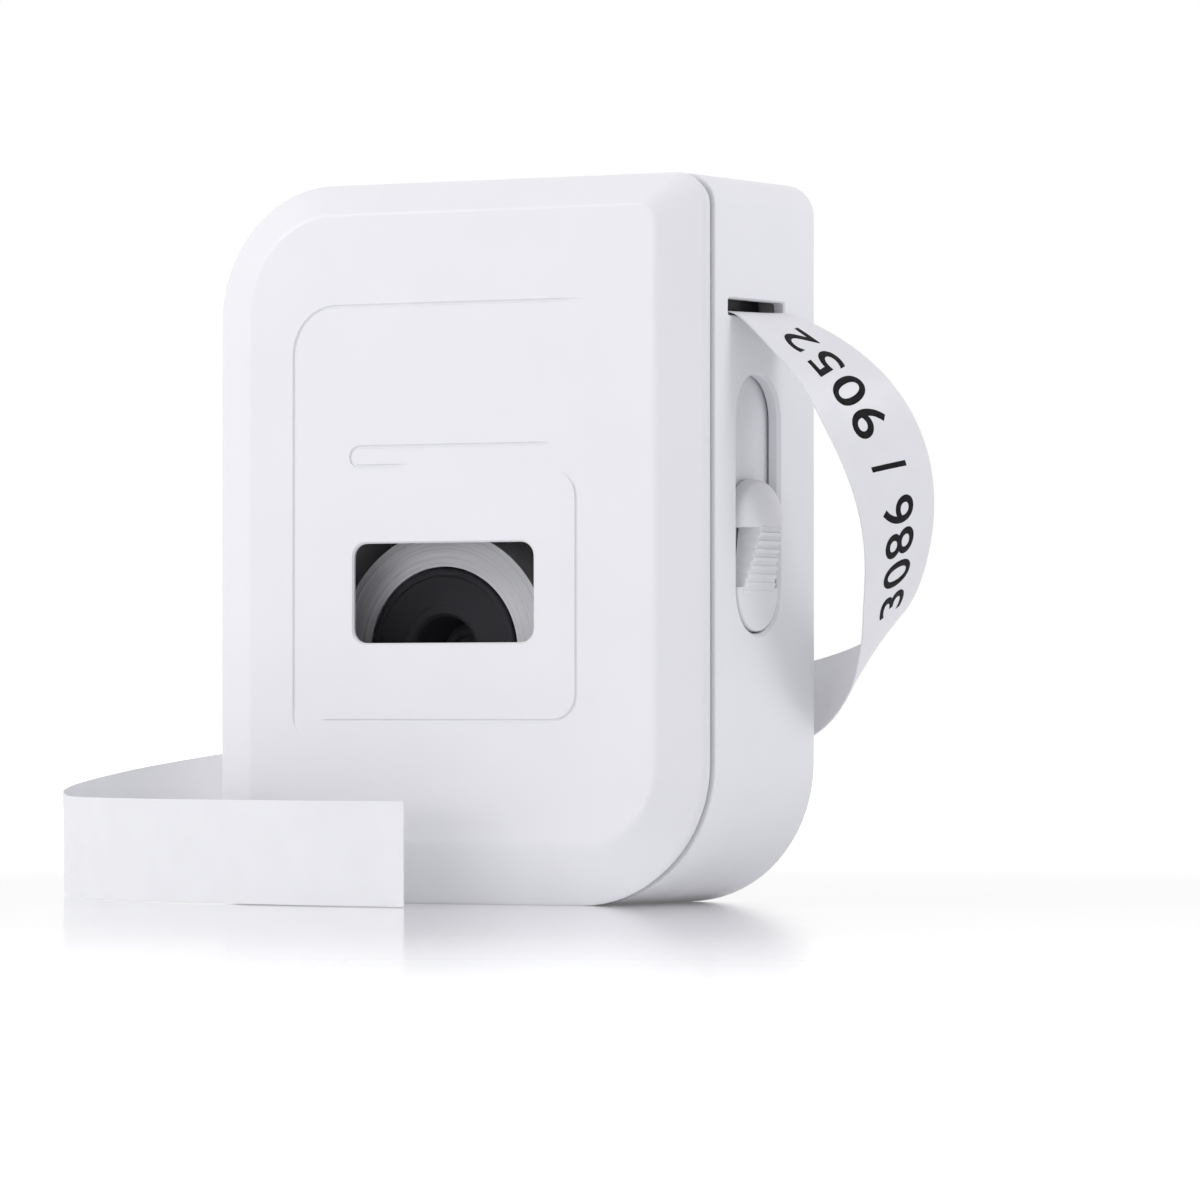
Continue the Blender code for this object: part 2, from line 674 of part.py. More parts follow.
def gear_loop(teeth, centre, phase):
    """The outline of a spur gear with one tooth at the angle phase, in radians."""
    pitch_radius = MODULE * teeth / 2
    root, tip = pitch_radius - 1.25 * MODULE, pitch_radius + 0.85 * MODULE
    spacing = 2 * math.pi / teeth
    corners = ((-0.30, root), (-0.12, tip), (0.12, tip), (0.30, root))
    points = []
    for tooth in range(teeth):
        for offset, radius in corners:
            angle = phase + (tooth + offset) * spacing
            points.append((centre[0] + radius * math.cos(angle), centre[1] + radius * math.sin(angle)))
    return points


def idler_centre():
    """Where the compound gear meshes with both the motor pinion and the platen gear."""
    motor = Vector((MOTOR_X, MOTOR_Z))
    platen = Vector((PLATEN_X, PLATEN_Z))
    to_motor = MODULE * (PINION_TEETH + LARGE_TEETH) / 2
    to_platen = MODULE * (SMALL_TEETH + PLATEN_TEETH) / 2
    line = platen - motor
    span = line.length
    along = (to_motor**2 - to_platen**2 + span**2) / (2 * span)
    aside = math.sqrt(to_motor**2 - along**2)
    unit = line / span
    side = Vector((-unit.y, unit.x))
    return tuple(motor + unit * along + side * aside)


def meshing_phase(driver_teeth, driver_phase, driver_centre, teeth, centre):
    """The phase at which a gear's gap meets the driver's tooth on the line between them."""
    towards = math.atan2(centre[1] - driver_centre[1], centre[0] - driver_centre[0])
    shift = (towards - driver_phase) * driver_teeth / (2 * math.pi)
    return towards + math.pi - (0.5 - shift) * 2 * math.pi / teeth


def gears():
    motor = (MOTOR_X, MOTOR_Z)
    idler = idler_centre()
    platen = (PLATEN_X, PLATEN_Z)
    large_phase = meshing_phase(PINION_TEETH, 0.0, motor, LARGE_TEETH, idler)
    platen_phase = meshing_phase(SMALL_TEETH, 0.0, idler, PLATEN_TEETH, platen)
    pinion = plate(
        "motor_pinion", "Y", REAR_GEARS_Y,
        [gear_loop(PINION_TEETH, motor, 0.0), arc(motor, 1.1, 0, 330, 11)], BRASS,
    )
    large = plate(
        "idler_gear", "Y", REAR_GEARS_Y,
        [gear_loop(LARGE_TEETH, idler, large_phase), arc(idler, 1.3, 0, 330, 11)], ACETAL,
    )
    small = plate(
        "idler_small", "Y", (FRONT_GEARS_Y[0], REAR_GEARS_Y[0] + 0.5),
        [gear_loop(SMALL_TEETH, idler, 0.0), arc(idler, 1.3, 0, 330, 11)], collection=CUTTERS,
    )
    join(large, small)
    wheel = plate(
        "platen_gear", "Y", FRONT_GEARS_Y,
        [gear_loop(PLATEN_TEETH, platen, platen_phase), arc(platen, 1.5, 0, 330, 11)], ACETAL,
    )
    return pinion, large, wheel


def feed_pieces():
    """Platen roller, its shaft and bush, and the motor with its shaft."""
    roller = turned(
        "platen_roller", ring_profile(1.5, PLATEN_RADIUS, 15.4), (PLATEN_X, 0.0, PLATEN_Z), RUBBER, 32
    )
    shaft = cylinder("platen_shaft", "Y", (PLATEN_X, 2.1, PLATEN_Z), 1.2, 20.6, STEEL, 20)
    turned(
        "platen_bush", ring_profile(1.45, 2.35, PLATE_Y[1] - PLATE_Y[0]),
        (PLATEN_X, sum(PLATE_Y) / 2, PLATEN_Z), BRASS, 20,
    )
    motor_back = PLATE_Y[0] - GAP
    motor = cylinder("stepper_motor", "Y", (MOTOR_X, motor_back - 5.3, MOTOR_Z), 7.5, 10.6, STEEL, 40)
    add_bevel(motor, 0.5, 2)
    hole = cylinder("motor_bore", "Y", (MOTOR_X, motor_back - 2.0, MOTOR_Z), 1.2, 8.0, sides=16,
                    collection=CUTTERS)
    cut(motor, hole)
    shaft_span = (motor_back - 4.0, REAR_GEARS_Y[1])
    motor_shaft = cylinder(
        "motor_shaft", "Y", (MOTOR_X, sum(shaft_span) / 2, MOTOR_Z), 0.8, shaft_span[1] - shaft_span[0],
        STEEL, 16,
    )
    x, z = idler_centre()
    cylinder("idler_pin", "Y", (x, 12.0, z), 1.0, 6.6, STEEL, 16)
    return roller, shaft, motor_shaft


def print_head_pieces():
    """The heated bar above the platen, its heat sink, the bracket over it and the spring between."""
    base = TAPE_Z + TAPE_THICK / 2 + GAP
    box("print_head", (21.0, -8.2, base), (31.5, 7.8, base + 1.0), CERAMIC, 0.2)
    sink = box("heat_sink", (20.0, -8.2, base + 1.3), (32.5, 7.8, base + 4.0), ALUMINIUM, 0.3)
    for index in range(4):
        x = 21.9 + index * 2.6
        cut(sink, box(f"fin_gap_{index}", (x, -9.0, base + 2.5), (x + 1.0, -2.6, base + 5.0),
                      collection=CUTTERS))
    bracket = box("head_bracket", (19.0, -8.0, 95.0), (33.0, 8.0, 96.0), STEEL, 0.15)
    tab = box("bracket_tab", (19.0, 7.0, 91.5), (28.5, 8.0, 95.6), collection=CUTTERS)
    join(bracket, tab)
    coil("head_spring", (26.0, 3.0), (base + 4.3, 94.7), 2.0, 0.25, 4)


def coil(name, middle, z_range, radius, wire, turns):
    """An upright compression spring centred on (X, Y), between two heights."""
    low, high = z_range[0] + wire, z_range[1] - wire
    count = turns * 12
    points = []
    for i in range(count + 1):
        angle = 2 * math.pi * turns * i / count
        height = low + (high - low) * i / count
        points.append((middle[0] + radius * math.cos(angle), middle[1] + radius * math.sin(angle), height))
    return tube(name, points, wire, STEEL)


def slider_track():
    """The floor of the slider's recess, behind the side wall, with a slot for the slider's stem."""
    outer = rounded_rectangle((RECESS_Y[0] - 1.6, RECESS_Y[1] + 1.2), (36.6, 79.0), even_radii(2.0), 4)
    slot = rounded_rectangle(STEM_SLOT_Y, STEM_SLOT_Z, even_radii(0.8), 3)
    back = INNER_RIGHT_X - GAP - 0.6
    return plate("slider_track", "X", (back, back + 0.6), [outer, slot], WHITE)


def cutter_slider():
    """The thumb slide: a smooth pad, a dome at its top, a ribbed wedge below the dome and the stem
    that drives the blade."""
    y_range = (RECESS_Y[0] + SLIDER_CLEARANCE, RECESS_Y[1] - SLIDER_CLEARANCE)
    outline = pill(y_range, SLIDER_Z, 8)
    pad = plate("cutter_slider", "X", (INNER_RIGHT_X + 0.1, RIGHT_X), [outline], WHITE)
    add_bevel(pad, 0.35, 2)
    base = RIGHT_X - 0.6
    wedge_side = (
        (base, GRIP_TOP_Z + 0.6), (base, GRIP_FOOT_Z), (RIGHT_X + 0.1, GRIP_FOOT_Z),
        (RIGHT_X + GRIP_PROUD, GRIP_TOP_Z), (RIGHT_X + GRIP_PROUD - 0.4, GRIP_TOP_Z + 0.6),
    )
    wide = (GRIP_MIDDLE_Y - GRIP_HALF_WIDE, GRIP_MIDDLE_Y + GRIP_HALF_WIDE)
    join(pad, plate("grip_wedge", "Y", wide, [wedge_side], collection=CUTTERS))
    rise = GRIP_TOP_Z - GRIP_FOOT_Z
    for index in range(GRIP_RIBS):
        share = (index + 0.6) / GRIP_RIBS
        z = GRIP_FOOT_Z + rise * share
        x = RIGHT_X + 0.1 + (GRIP_PROUD - 0.1) * share
        cut(pad, box(f"rib_gap_{index}", (x - 0.35, wide[0] - 1, z - 0.22), (x + 1.5, wide[1] + 1, z + 0.22),
                     collection=CUTTERS))
    for side in (-1, 1):
        cut(pad, grip_flank(f"grip_flank_{side}", side))
    return join(pad, grip_dome(outline), box(
        "slider_stem", (CUT_X + 0.55, STEM_Y[0], STEM_Z[0]), (INNER_RIGHT_X + 0.6, STEM_Y[1], STEM_Z[1]),
        collection=CUTTERS,
    ))


def grip_flank(name, side):
    """A cutter that narrows the wedge towards its top and deepens the pad beside it."""
    far = GRIP_MIDDLE_Y + side * 8.0
    low = GRIP_MIDDLE_Y + side * GRIP_HALF_WIDE
    high = GRIP_MIDDLE_Y + side * GRIP_HALF_NARROW
    loop = ((far, GRIP_FOOT_Z + 1.0), (low, GRIP_FOOT_Z + 1.0), (high, GRIP_TOP_Z), (far, GRIP_TOP_Z))
    return plate(name, "X", (INNER_RIGHT_X - 0.2, RIGHT_X + 4.0), [loop], collection=CUTTERS)


def grip_dome(outline):
    """The rounded cap above the wedge: curved across, sloping up and back, and within the pad's outline."""
    crown = RIGHT_X + GRIP_PROUD
    top = SLIDER_Z[1] - 0.2
    middle = (GRIP_TOP_Z + top) / 2
    dome = cylinder("grip_dome", "Z", (crown - DOME_RADIUS, GRIP_MIDDLE_Y, middle), DOME_RADIUS,
                    top - GRIP_TOP_Z, sides=64, collection=CUTTERS)
    base = RIGHT_X - 0.6
    side = (
        (base, top + 0.1), (base, GRIP_TOP_Z - 0.1), (crown + 0.1, GRIP_TOP_Z - 0.1),
        (crown - 0.1, GRIP_TOP_Z + 1.8), (crown - 0.6, GRIP_TOP_Z + 3.6), (crown - 1.3, GRIP_TOP_Z + 5.2),
        (crown - 2.4, top - 0.2),
    )
    slope = plate("dome_slope", "Y", (RECESS_Y[0], RECESS_Y[1]), [side], collection=CUTTERS)
    within = plate("dome_outline", "X", (base - 0.4, crown + 1), [outline], collection=CUTTERS)
    return combine(dome, (slope, within), "INTERSECT")


def cutter_pieces():
    """The carriage behind the track, its blade and screws, the fixed blade and the return spring."""
    carriage = box("blade_carriage", (33.0, -4.5, 41.0), (CUT_X + 0.25, 4.5, 49.0), GREY, 0.3)
    upright = box("carriage_upright", (35.2, -6.5, 46.0), (CUT_X - 0.55, 6.5, 62.0), collection=CUTTERS)
    shelf = box("carriage_shelf", (32.9, -2.0, 60.2), (36.0, 2.0, 62.0), collection=CUTTERS)
    join(carriage, upright, shelf)
    outline = [(-7.7, 56.0), (7.7, 56.0), (7.7, 84.3), (-7.7, 82.2)]
    holes = [arc((y, 59.0), 0.9, 0, 330, 11) for y in (-4.0, 4.0)]
    blade = plate("cutter_blade", "X", (CUT_X - 0.25, CUT_X + 0.25), [outline] + holes, STEEL)
    screws = []
    for index, y in enumerate((-4.0, 4.0)):
        hole = cylinder(f"blade_screw_hole_{index}", "X", (36.0, y, 59.0), 0.9, 4.0, sides=12,
                        collection=CUTTERS)
        cut(carriage, hole)
        screws.append(cylinder(f"blade_screw_{index + 1}", "X", (36.6, y, 59.0), 0.6, 2.6, STEEL, 12))
    plate(
        "fixed_blade", "X", (CUT_X - 1.2, CUT_X - 0.55),
        [[(-8.2, 85.7), (7.8, 85.7), (7.8, 94.0), (-8.2, 94.0)]], STEEL,
    )
    coil("cutter_return_spring", (34.3, 0.0), (62.3, 81.6), 1.15, 0.2, 8)
    return carriage, blade, screws


def electronics():
    """Circuit board, battery, sockets and the controls on the left side."""
    board_y = (14.2, 15.4)
    box("main_board", (-36.3, board_y[0], 12.0), (12.0, board_y[1], 57.0), BOARD)
    front = board_y[0] - GAP
    box("control_chip", (-14.0, front - 1.2, 30.0), (-4.0, front, 40.0), DARK, 0.15)
    box("wireless_module", (-4.0, front - 2.0, 14.0), (9.0, front, 26.0), STEEL, 0.3)
    box("battery_cell", (-24.0, 10.3, 62.0), (8.0, 15.9, 86.0), CELL, 1.6)
    box("battery_plug", (-2.0, front - 3.2, 49.0), (4.0, front, 55.0), ACETAL, 0.3)
    lead = [(1.0, 12.2, 55.3 + 0.8 * i) for i in range(9)]
    lead = [(x + 0.9 * math.sin(math.pi * i / 8), y, z) for i, (x, y, z) in enumerate(lead)]
    tube("battery_lead", lead[:8], 0.6, RED)
    shell = plate(
        "usb_socket", "X", (LEFT_X + 0.3, LEFT_X + 7.6),
        [control_pill(USB_Z, USB_SIZE, 6)], STEEL,
    )
    mouth = plate(
        "usb_mouth", "X", (LEFT_X - 1.0, LEFT_X + 6.6),
        [control_pill(USB_Z, USB_MOUTH, 6)], collection=CUTTERS,
    )
    cut(shell, mouth)
    tongue = box("usb_tongue", (LEFT_X + 1.2, CONTROL_Y - 0.35, USB_Z - 3.2),
                 (LEFT_X + 7.0, CONTROL_Y + 0.35, USB_Z + 3.2), collection=CUTTERS)
    join(shell, tongue)
    cap = plate("power_button", "X", (LEFT_X - 0.7, LEFT_X + WALL + 0.4),
                [control_pill(BUTTON_Z, BUTTON_SIZE, 6)], GREY)
    add_bevel(cap, 0.3, 2)
    flange = plate("button_flange", "X", (LEFT_X + WALL + GAP, LEFT_X + WALL + 0.9),
                   [control_pill(BUTTON_Z, BUTTON_FLANGE, 6)], collection=CUTTERS)
    join(cap, flange)
    box("power_switch", (LEFT_X + 3.6, front - 3.2, BUTTON_Z - 2.5), (LEFT_X + 7.6, front, BUTTON_Z + 2.5),
        DARK, 0.2)
    cylinder("light_pipe", "X", (LEFT_X + 2.1, CONTROL_Y, LIGHT_Z), LIGHT_RADIUS, 4.2, CLEAR, 16)
    return cap


def pivot(name, place):
    """An empty on a joint's axis, which the pieces of one moving body hang from."""
    empty = bpy.data.objects.new(name, None)
    empty.location = [value * MM for value in place]
    empty.empty_display_size = 5 * MM
    PARTS.objects.link(empty)
    return empty


def hang(empty, pieces):
    """Parents the pieces to the empty without moving them."""
    bpy.context.view_layer.update()
    for piece in pieces:
        piece.parent = empty
        piece.matrix_parent_inverse = empty.matrix_world.inverted()


def main():
    cover = front_cover()
    lens = window_lens()
    hang(pivot("cover_axis", (LEFT_X, PARTING_Y, HEIGHT / 2)), (cover, lens))
    rear_housing()
    chassis_plate()
    for index, base in enumerate(HINGE_BASES_Z):
        spans = knuckle_spans(base)
        middle = (LEFT_X, PARTING_Y, (spans[0][0] + spans[2][1]) / 2)
        cylinder(f"hinge_pin_{index + 1}", "Z", middle, HINGE_PIN, spans[2][1] - spans[0][0] + 0.4, STEEL, 16)
    for index, (x, z) in enumerate(PLATE_SCREWS):
        plate_screw(f"chassis_screw_{index + 1}", x, z)
    hang(pivot("roll_axis", (ROLL_X, 0.0, ROLL_Z)), roll_pieces())
    roll_spindle()
    tape_web()
    hang(pivot("guide_axis", (GUIDE_X, 0.0, GUIDE_Z)), (guide_roller(),))
    label_strip()
    pinion, large, wheel = gears()
    roller, shaft, motor_shaft = feed_pieces()
    hang(pivot("platen_axis", (PLATEN_X, 0.0, PLATEN_Z)), (roller, shaft, wheel))
    hang(pivot("motor_axis", (MOTOR_X, 0.0, MOTOR_Z)), (pinion, motor_shaft))
    idler_x, idler_z = idler_centre()
    hang(pivot("idler_axis", (idler_x, 0.0, idler_z)), (large,))
    print_head_pieces()
    slider_track()
    carriage, blade, screws = cutter_pieces()
    hang(pivot("cutter_axis", (CUT_X, 0.0, SLIDER_Z[0])), (cutter_slider(), carriage, blade, *screws))
    button = electronics()
    hang(pivot("button_axis", (LEFT_X, CONTROL_Y, BUTTON_Z)), (button,))


main()
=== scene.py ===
"""Looks of the label maker: detailed shells, strip and roll, materials, lights and camera, built round
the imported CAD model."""

import json
import math

import bmesh
import bpy
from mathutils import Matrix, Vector, noise


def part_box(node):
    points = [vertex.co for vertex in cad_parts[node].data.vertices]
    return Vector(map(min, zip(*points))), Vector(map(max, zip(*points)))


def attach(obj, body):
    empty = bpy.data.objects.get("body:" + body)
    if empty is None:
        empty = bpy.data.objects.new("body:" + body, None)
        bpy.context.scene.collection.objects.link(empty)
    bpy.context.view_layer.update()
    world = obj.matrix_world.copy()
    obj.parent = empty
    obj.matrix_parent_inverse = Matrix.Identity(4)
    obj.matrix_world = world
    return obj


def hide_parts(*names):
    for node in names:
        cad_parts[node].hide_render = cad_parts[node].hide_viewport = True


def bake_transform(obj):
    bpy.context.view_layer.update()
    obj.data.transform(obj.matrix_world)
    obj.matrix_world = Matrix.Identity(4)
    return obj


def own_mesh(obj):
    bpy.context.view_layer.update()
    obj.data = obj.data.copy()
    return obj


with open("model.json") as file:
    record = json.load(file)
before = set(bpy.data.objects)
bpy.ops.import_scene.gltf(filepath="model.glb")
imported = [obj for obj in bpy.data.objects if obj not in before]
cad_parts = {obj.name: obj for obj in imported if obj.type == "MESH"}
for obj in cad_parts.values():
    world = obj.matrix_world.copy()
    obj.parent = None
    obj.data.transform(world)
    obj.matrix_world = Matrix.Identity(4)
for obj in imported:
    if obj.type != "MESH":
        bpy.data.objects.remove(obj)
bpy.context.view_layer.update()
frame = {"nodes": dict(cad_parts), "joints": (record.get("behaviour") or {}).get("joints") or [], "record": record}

MM = 0.001
SCENE = bpy.context.scene

# The case, as in the CAD
CORNER_RADII = (4.7, 20.5, 4.7, 19.4)
FACE_RADII = (2.5, 11.5, 2.5, 14.5)
FACE_INSET = {"left": 6.7, "right": 6.8, "bottom": 8.7, "top": 4.5}
WALL = 1.8
GAP = 0.3
CHAMFER_DEPTH = 3.0
REVEAL = 0.6


def box_mm(node):
    """A CAD node's low and high corners in millimetres."""
    low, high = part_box(node)
    return Vector(low) / MM, Vector(high) / MM


COVER_LOW, COVER_HIGH = box_mm("front_cover")
HOUSING_LOW, HOUSING_HIGH = box_mm("rear_housing")
FRONT_Y = COVER_LOW.y
REAR_Y = HOUSING_HIGH.y
HEIGHT = COVER_HIGH.z
RIGHT_X = COVER_HIGH.x
LEFT_X = -RIGHT_X
JOINTS = {joint["name"]: joint for joint in frame["joints"]}
HINGE = Vector(JOINTS["cover_hinge"]["pos_m"]) / MM
PARTING_Y = HINGE.y
HOUSING_FRONT_Y = PARTING_Y + GAP
INNER_RIGHT_X = RIGHT_X - WALL
INNER_REAR_Y = REAR_Y - WALL


# ---------------------------------------------------------------- camera, lights and floor

def add_node(tree, kind, values=None, **settings):
    """A new shader node: values go to its inputs, and settings to its own properties."""
    made = tree.nodes.new(kind)
    for setting, value in settings.items():
        setattr(made, setting, value)
    for socket, value in (values or {}).items():
        made.inputs[socket].default_value = value
    return made


def camera():
    """The camera stands well to the right and a little below the middle of the case."""
    azimuth, elevation = math.radians(30.0), math.radians(-0.9)
    target = Vector((22.15, PARTING_Y, 43.98)) * MM
    distance = 1.10065
    back = Vector((math.sin(azimuth) * math.cos(elevation), -math.cos(azimuth) * math.cos(elevation),
                   math.sin(elevation)))
    data = bpy.data.cameras.new("camera")
    data.sensor_width = 36.0
    data.lens = 229.3
    data.clip_start = 0.01
    data.clip_end = 50.0
    obj = bpy.data.objects.new("camera", data)
    obj.location = target + back * distance
    obj.rotation_euler = back.to_track_quat("Z", "Y").to_euler()
    SCENE.collection.objects.link(obj)
    SCENE.camera = obj


def area_light(name, place, target, size, power, colour=(1.0, 1.0, 1.0)):
    data = bpy.data.lights.new(name, "AREA")
    data.shape = "RECTANGLE"
    data.size, data.size_y = size
    data.energy = power
    data.color = colour
    obj = bpy.data.objects.new(name, data)
    obj.location = place
    towards = Vector(place) - Vector(target)
    obj.rotation_euler = towards.to_track_quat("Z", "Y").to_euler()
    SCENE.collection.objects.link(obj)


def lights():
    """Soft light: a pale surround, a large panel from the upper left, and weaker ones in front, on the
    right and above."""
    middle = (0.0, 0.0, 0.05)
    area_light("key_panel", (-0.75, -0.72, 0.62), middle, (0.6, 0.6), 5.6)
    area_light("front_panel", (0.0, -1.1, 0.10), middle, (0.6, 0.18), 1.2)
    area_light("side_panel", (0.42, 0.14, 0.34), (0.04, 0.0, 0.09), (0.2, 0.2), 0.76, (0.97, 0.97, 1.0))
    area_light("top_panel", (0.0, 0.05, 1.0), middle, (1.2, 0.8), 1.7)
    world = bpy.data.worlds.new("surround")
    SCENE.world = world
    world.use_nodes = True
    tree = world.node_tree
    tree.nodes.clear()
    output = add_node(tree, "ShaderNodeOutputWorld")
    mix = add_node(tree, "ShaderNodeMixShader")
    path = add_node(tree, "ShaderNodeLightPath")
    seen = add_node(tree, "ShaderNodeBackground", {"Color": (1.0, 1.0, 1.0, 1.0), "Strength": 1.0})
    given = add_node(tree, "ShaderNodeBackground", {"Color": (0.95, 0.955, 1.0, 1.0), "Strength": 0.50})
    tree.links.new(path.outputs["Is Diffuse Ray"], mix.inputs["Fac"])
    tree.links.new(seen.outputs[0], mix.inputs[1])
    tree.links.new(given.outputs[0], mix.inputs[2])
    tree.links.new(mix.outputs[0], output.inputs["Surface"])
    SCENE.view_settings.view_transform = "Standard"
    SCENE.view_settings.look = "None"


def floor():
    """A white table top with a soft gloss. It glows a little to the eye, so that it meets the
    backdrop with no line, and lights the object only as a pale surface would."""
    shape = bmesh.new()
    bmesh.ops.create_grid(shape, x_segments=4, y_segments=4, size=6.0)
    mesh = bpy.data.meshes.new("floor")
    shape.to_mesh(mesh)
    shape.free()
    obj = bpy.data.objects.new("floor", mesh)
    SCENE.collection.objects.link(obj)
    made = bpy.data.materials.new("floor")
    made.use_nodes = True
    tree = made.node_tree
    tree.nodes.clear()
    output = add_node(tree, "ShaderNodeOutputMaterial")
    place = add_node(tree, "ShaderNodeTexCoord")
    reach = add_node(tree, "ShaderNodeVectorMath", operation="LENGTH")
    tree.links.new(place.outputs["Object"], reach.inputs[0])

    def by_distance(near, far, at_near, at_far):
        ranged = add_node(tree, "ShaderNodeMapRange", {"From Min": near, "From Max": far,
                                                       "To Min": at_near, "To Max": at_far})
        tree.links.new(reach.outputs["Value"], ranged.inputs["Value"])
        return ranged.outputs["Result"]

    matt = add_node(tree, "ShaderNodeBsdfDiffuse", {"Color": (0.94, 0.94, 0.95, 1.0)})
    glow = add_node(tree, "ShaderNodeEmission", {"Strength": 1.35})
    lit = add_node(tree, "ShaderNodeMixShader")
    tree.links.new(by_distance(0.10, 0.50, 0.30, 1.0), lit.inputs["Fac"])
    gloss = add_node(tree, "ShaderNodeBsdfGlossy", {"Color": (1.0, 1.0, 1.0, 1.0), "Roughness": 0.13})
    top = add_node(tree, "ShaderNodeMixShader")
    sheen = add_node(tree, "ShaderNodeFresnel", {"IOR": 1.5})
    share = add_node(tree, "ShaderNodeMath", operation="MULTIPLY")
    tree.links.new(sheen.outputs["Fac"], share.inputs[0])
    tree.links.new(by_distance(0.16, 0.47, 1.0, 0.0), share.inputs[1])
    tree.links.new(share.outputs[0], top.inputs["Fac"])
    path = add_node(tree, "ShaderNodeLightPath")
    plain = add_node(tree, "ShaderNodeMixShader")
    tree.links.new(matt.outputs[0], lit.inputs[1])
    tree.links.new(glow.outputs[0], lit.inputs[2])
    tree.links.new(lit.outputs[0], top.inputs[1])
    tree.links.new(gloss.outputs[0], top.inputs[2])
    tree.links.new(path.outputs["Is Diffuse Ray"], plain.inputs["Fac"])
    tree.links.new(top.outputs[0], plain.inputs[1])
    tree.links.new(matt.outputs[0], plain.inputs[2])
    tree.links.new(plain.outputs[0], output.inputs["Surface"])
    mesh.materials.append(made)


# ---------------------------------------------------------------- materials

class Look:
    """A material whose colour, roughness and relief come from procedural noise."""

    def __init__(self, name, roughness=0.4, metallic=0.0):
        self.material = bpy.data.materials.new(name)
        self.material.use_nodes = True
        self.tree = self.material.node_tree
        self.shader = self.tree.nodes["Principled BSDF"]
        self.set("Roughness", roughness)
        self.set("Metallic", metallic)
        self.place = self.node("ShaderNodeTexCoord").outputs["Object"]
        self.relief = None

    def node(self, kind, values=None, **settings):
        return add_node(self.tree, kind, values, **settings)

    def link(self, out, into):
        self.tree.links.new(out, into)

    def set(self, socket, value):
        self.shader.inputs[socket].default_value = value

    def stretched(self, scale):
        mapping = self.node("ShaderNodeMapping", {"Scale": scale})
        self.link(self.place, mapping.inputs["Vector"])
        return mapping.outputs["Vector"]

    def noise(self, scale, detail=3.0, roughness=0.5, stretch=None):
        made = self.node("ShaderNodeTexNoise", {"Scale": scale, "Detail": detail, "Roughness": roughness})
        self.link(self.stretched(stretch) if stretch else self.place, made.inputs["Vector"])
        return made.outputs["Fac"]

    def ramp(self, source, stops):
        """Turns a value into a colour through (position, colour) stops."""
        made = self.node("ShaderNodeValToRGB")
        elements = made.color_ramp.elements
        while len(elements) < len(stops):
            elements.new(0.5)
        for element, (position, colour) in zip(elements, stops):
            element.position = position
            element.color = (*colour, 1.0)
        self.link(source, made.inputs["Fac"])
        return made.outputs["Color"]

    def colour(self, source, low, high, spread=(0.35, 0.65)):
        stops = ((spread[0], low), (spread[1], high))
        self.link(self.ramp(source, stops), self.shader.inputs["Base Color"])

    def rough(self, source, low, high):
        made = self.node("ShaderNodeMapRange", {"From Min": 0.3, "From Max": 0.7,
                                                "To Min": low, "To Max": high})
        self.link(source, made.inputs["Value"])
        self.link(made.outputs["Result"], self.shader.inputs["Roughness"])

    def bump(self, source, height_mm, strength=1.0):
        made = self.node("ShaderNodeBump", {"Strength": strength, "Distance": height_mm * MM})
        self.link(source, made.inputs["Height"])
        if self.relief:
            self.link(self.relief, made.inputs["Normal"])
        self.relief = made.outputs["Normal"]
        self.link(self.relief, self.shader.inputs["Normal"])


def moulded(name, low, high, roughness, grain=9000.0, height=0.006, gloss=0.45):
    """Injection-moulded plastic: spark-eroded grain, a slow drift in tone and faint wear in gloss."""
    look = Look(name)
    look.colour(look.noise(60.0, 4.0), low, high)
    look.rough(look.noise(240.0, 5.0), roughness - 0.06, roughness + 0.06)
    look.bump(look.noise(grain, 2.0), height)
    look.bump(look.noise(45.0, 2.0), 0.01, 0.25)
    look.set("Specular IOR Level", gloss)
    return look.material


def paper():
    """Coated label paper: faint fibres and a silky top coat."""
    look = Look("label_paper")
    fibres = look.noise(3500.0, 6.0, 0.65, (1.0, 0.4, 0.4))
    look.colour(look.noise(150.0, 5.0), (0.755, 0.755, 0.775), (0.775, 0.775, 0.795))
    look.rough(look.noise(700.0, 3.0), 0.40, 0.52)
    look.bump(fibres, 0.004, 0.6)
    look.set("Specular IOR Level", 0.35)
    look.set("Sheen Weight", 0.05)
    return look.material


def wound_paper(centre):
    """The edges of many turns of tape: fine rings round the roll's axis."""
    look = Look("wound_paper")
    rings_per_metre = 4200.0
    move = look.node("ShaderNodeVectorMath", {1: (centre.x * MM, 0.0, centre.z * MM)}, operation="SUBTRACT")
    look.link(look.place, move.inputs[0])
    flat = look.node("ShaderNodeVectorMath", {1: (1.0, 0.0, 1.0)}, operation="MULTIPLY")
    look.link(move.outputs[0], flat.inputs[0])
    length = look.node("ShaderNodeVectorMath", operation="LENGTH")
    look.link(flat.outputs[0], length.inputs[0])
    scaled = look.node("ShaderNodeMath", {1: rings_per_metre}, operation="MULTIPLY")
    look.link(length.outputs["Value"], scaled.inputs[0])
    rings = look.node("ShaderNodeTexNoise", {"Scale": 1.0, "Detail": 3.0}, noise_dimensions="1D")
    look.link(scaled.outputs[0], rings.inputs["W"])
    look.colour(rings.outputs["Fac"], (0.76, 0.76, 0.79), (0.86, 0.86, 0.88), (0.3, 0.7))
    look.rough(look.noise(900.0), 0.5, 0.62)
    look.bump(rings.outputs["Fac"], 0.015, 0.4)
    return look.material


def brushed(name, low, high, roughness, stretch):
    """Metal with fine lines along one direction, and slow smudges."""
    look = Look(name, roughness, 1.0)
    lines = look.noise(900.0, 4.0, 0.6, stretch)
    look.colour(look.noise(120.0, 4.0), low, high)
    look.rough(lines, roughness - 0.08, roughness + 0.10)
    look.bump(lines, 0.004, 0.5)
    return look.material


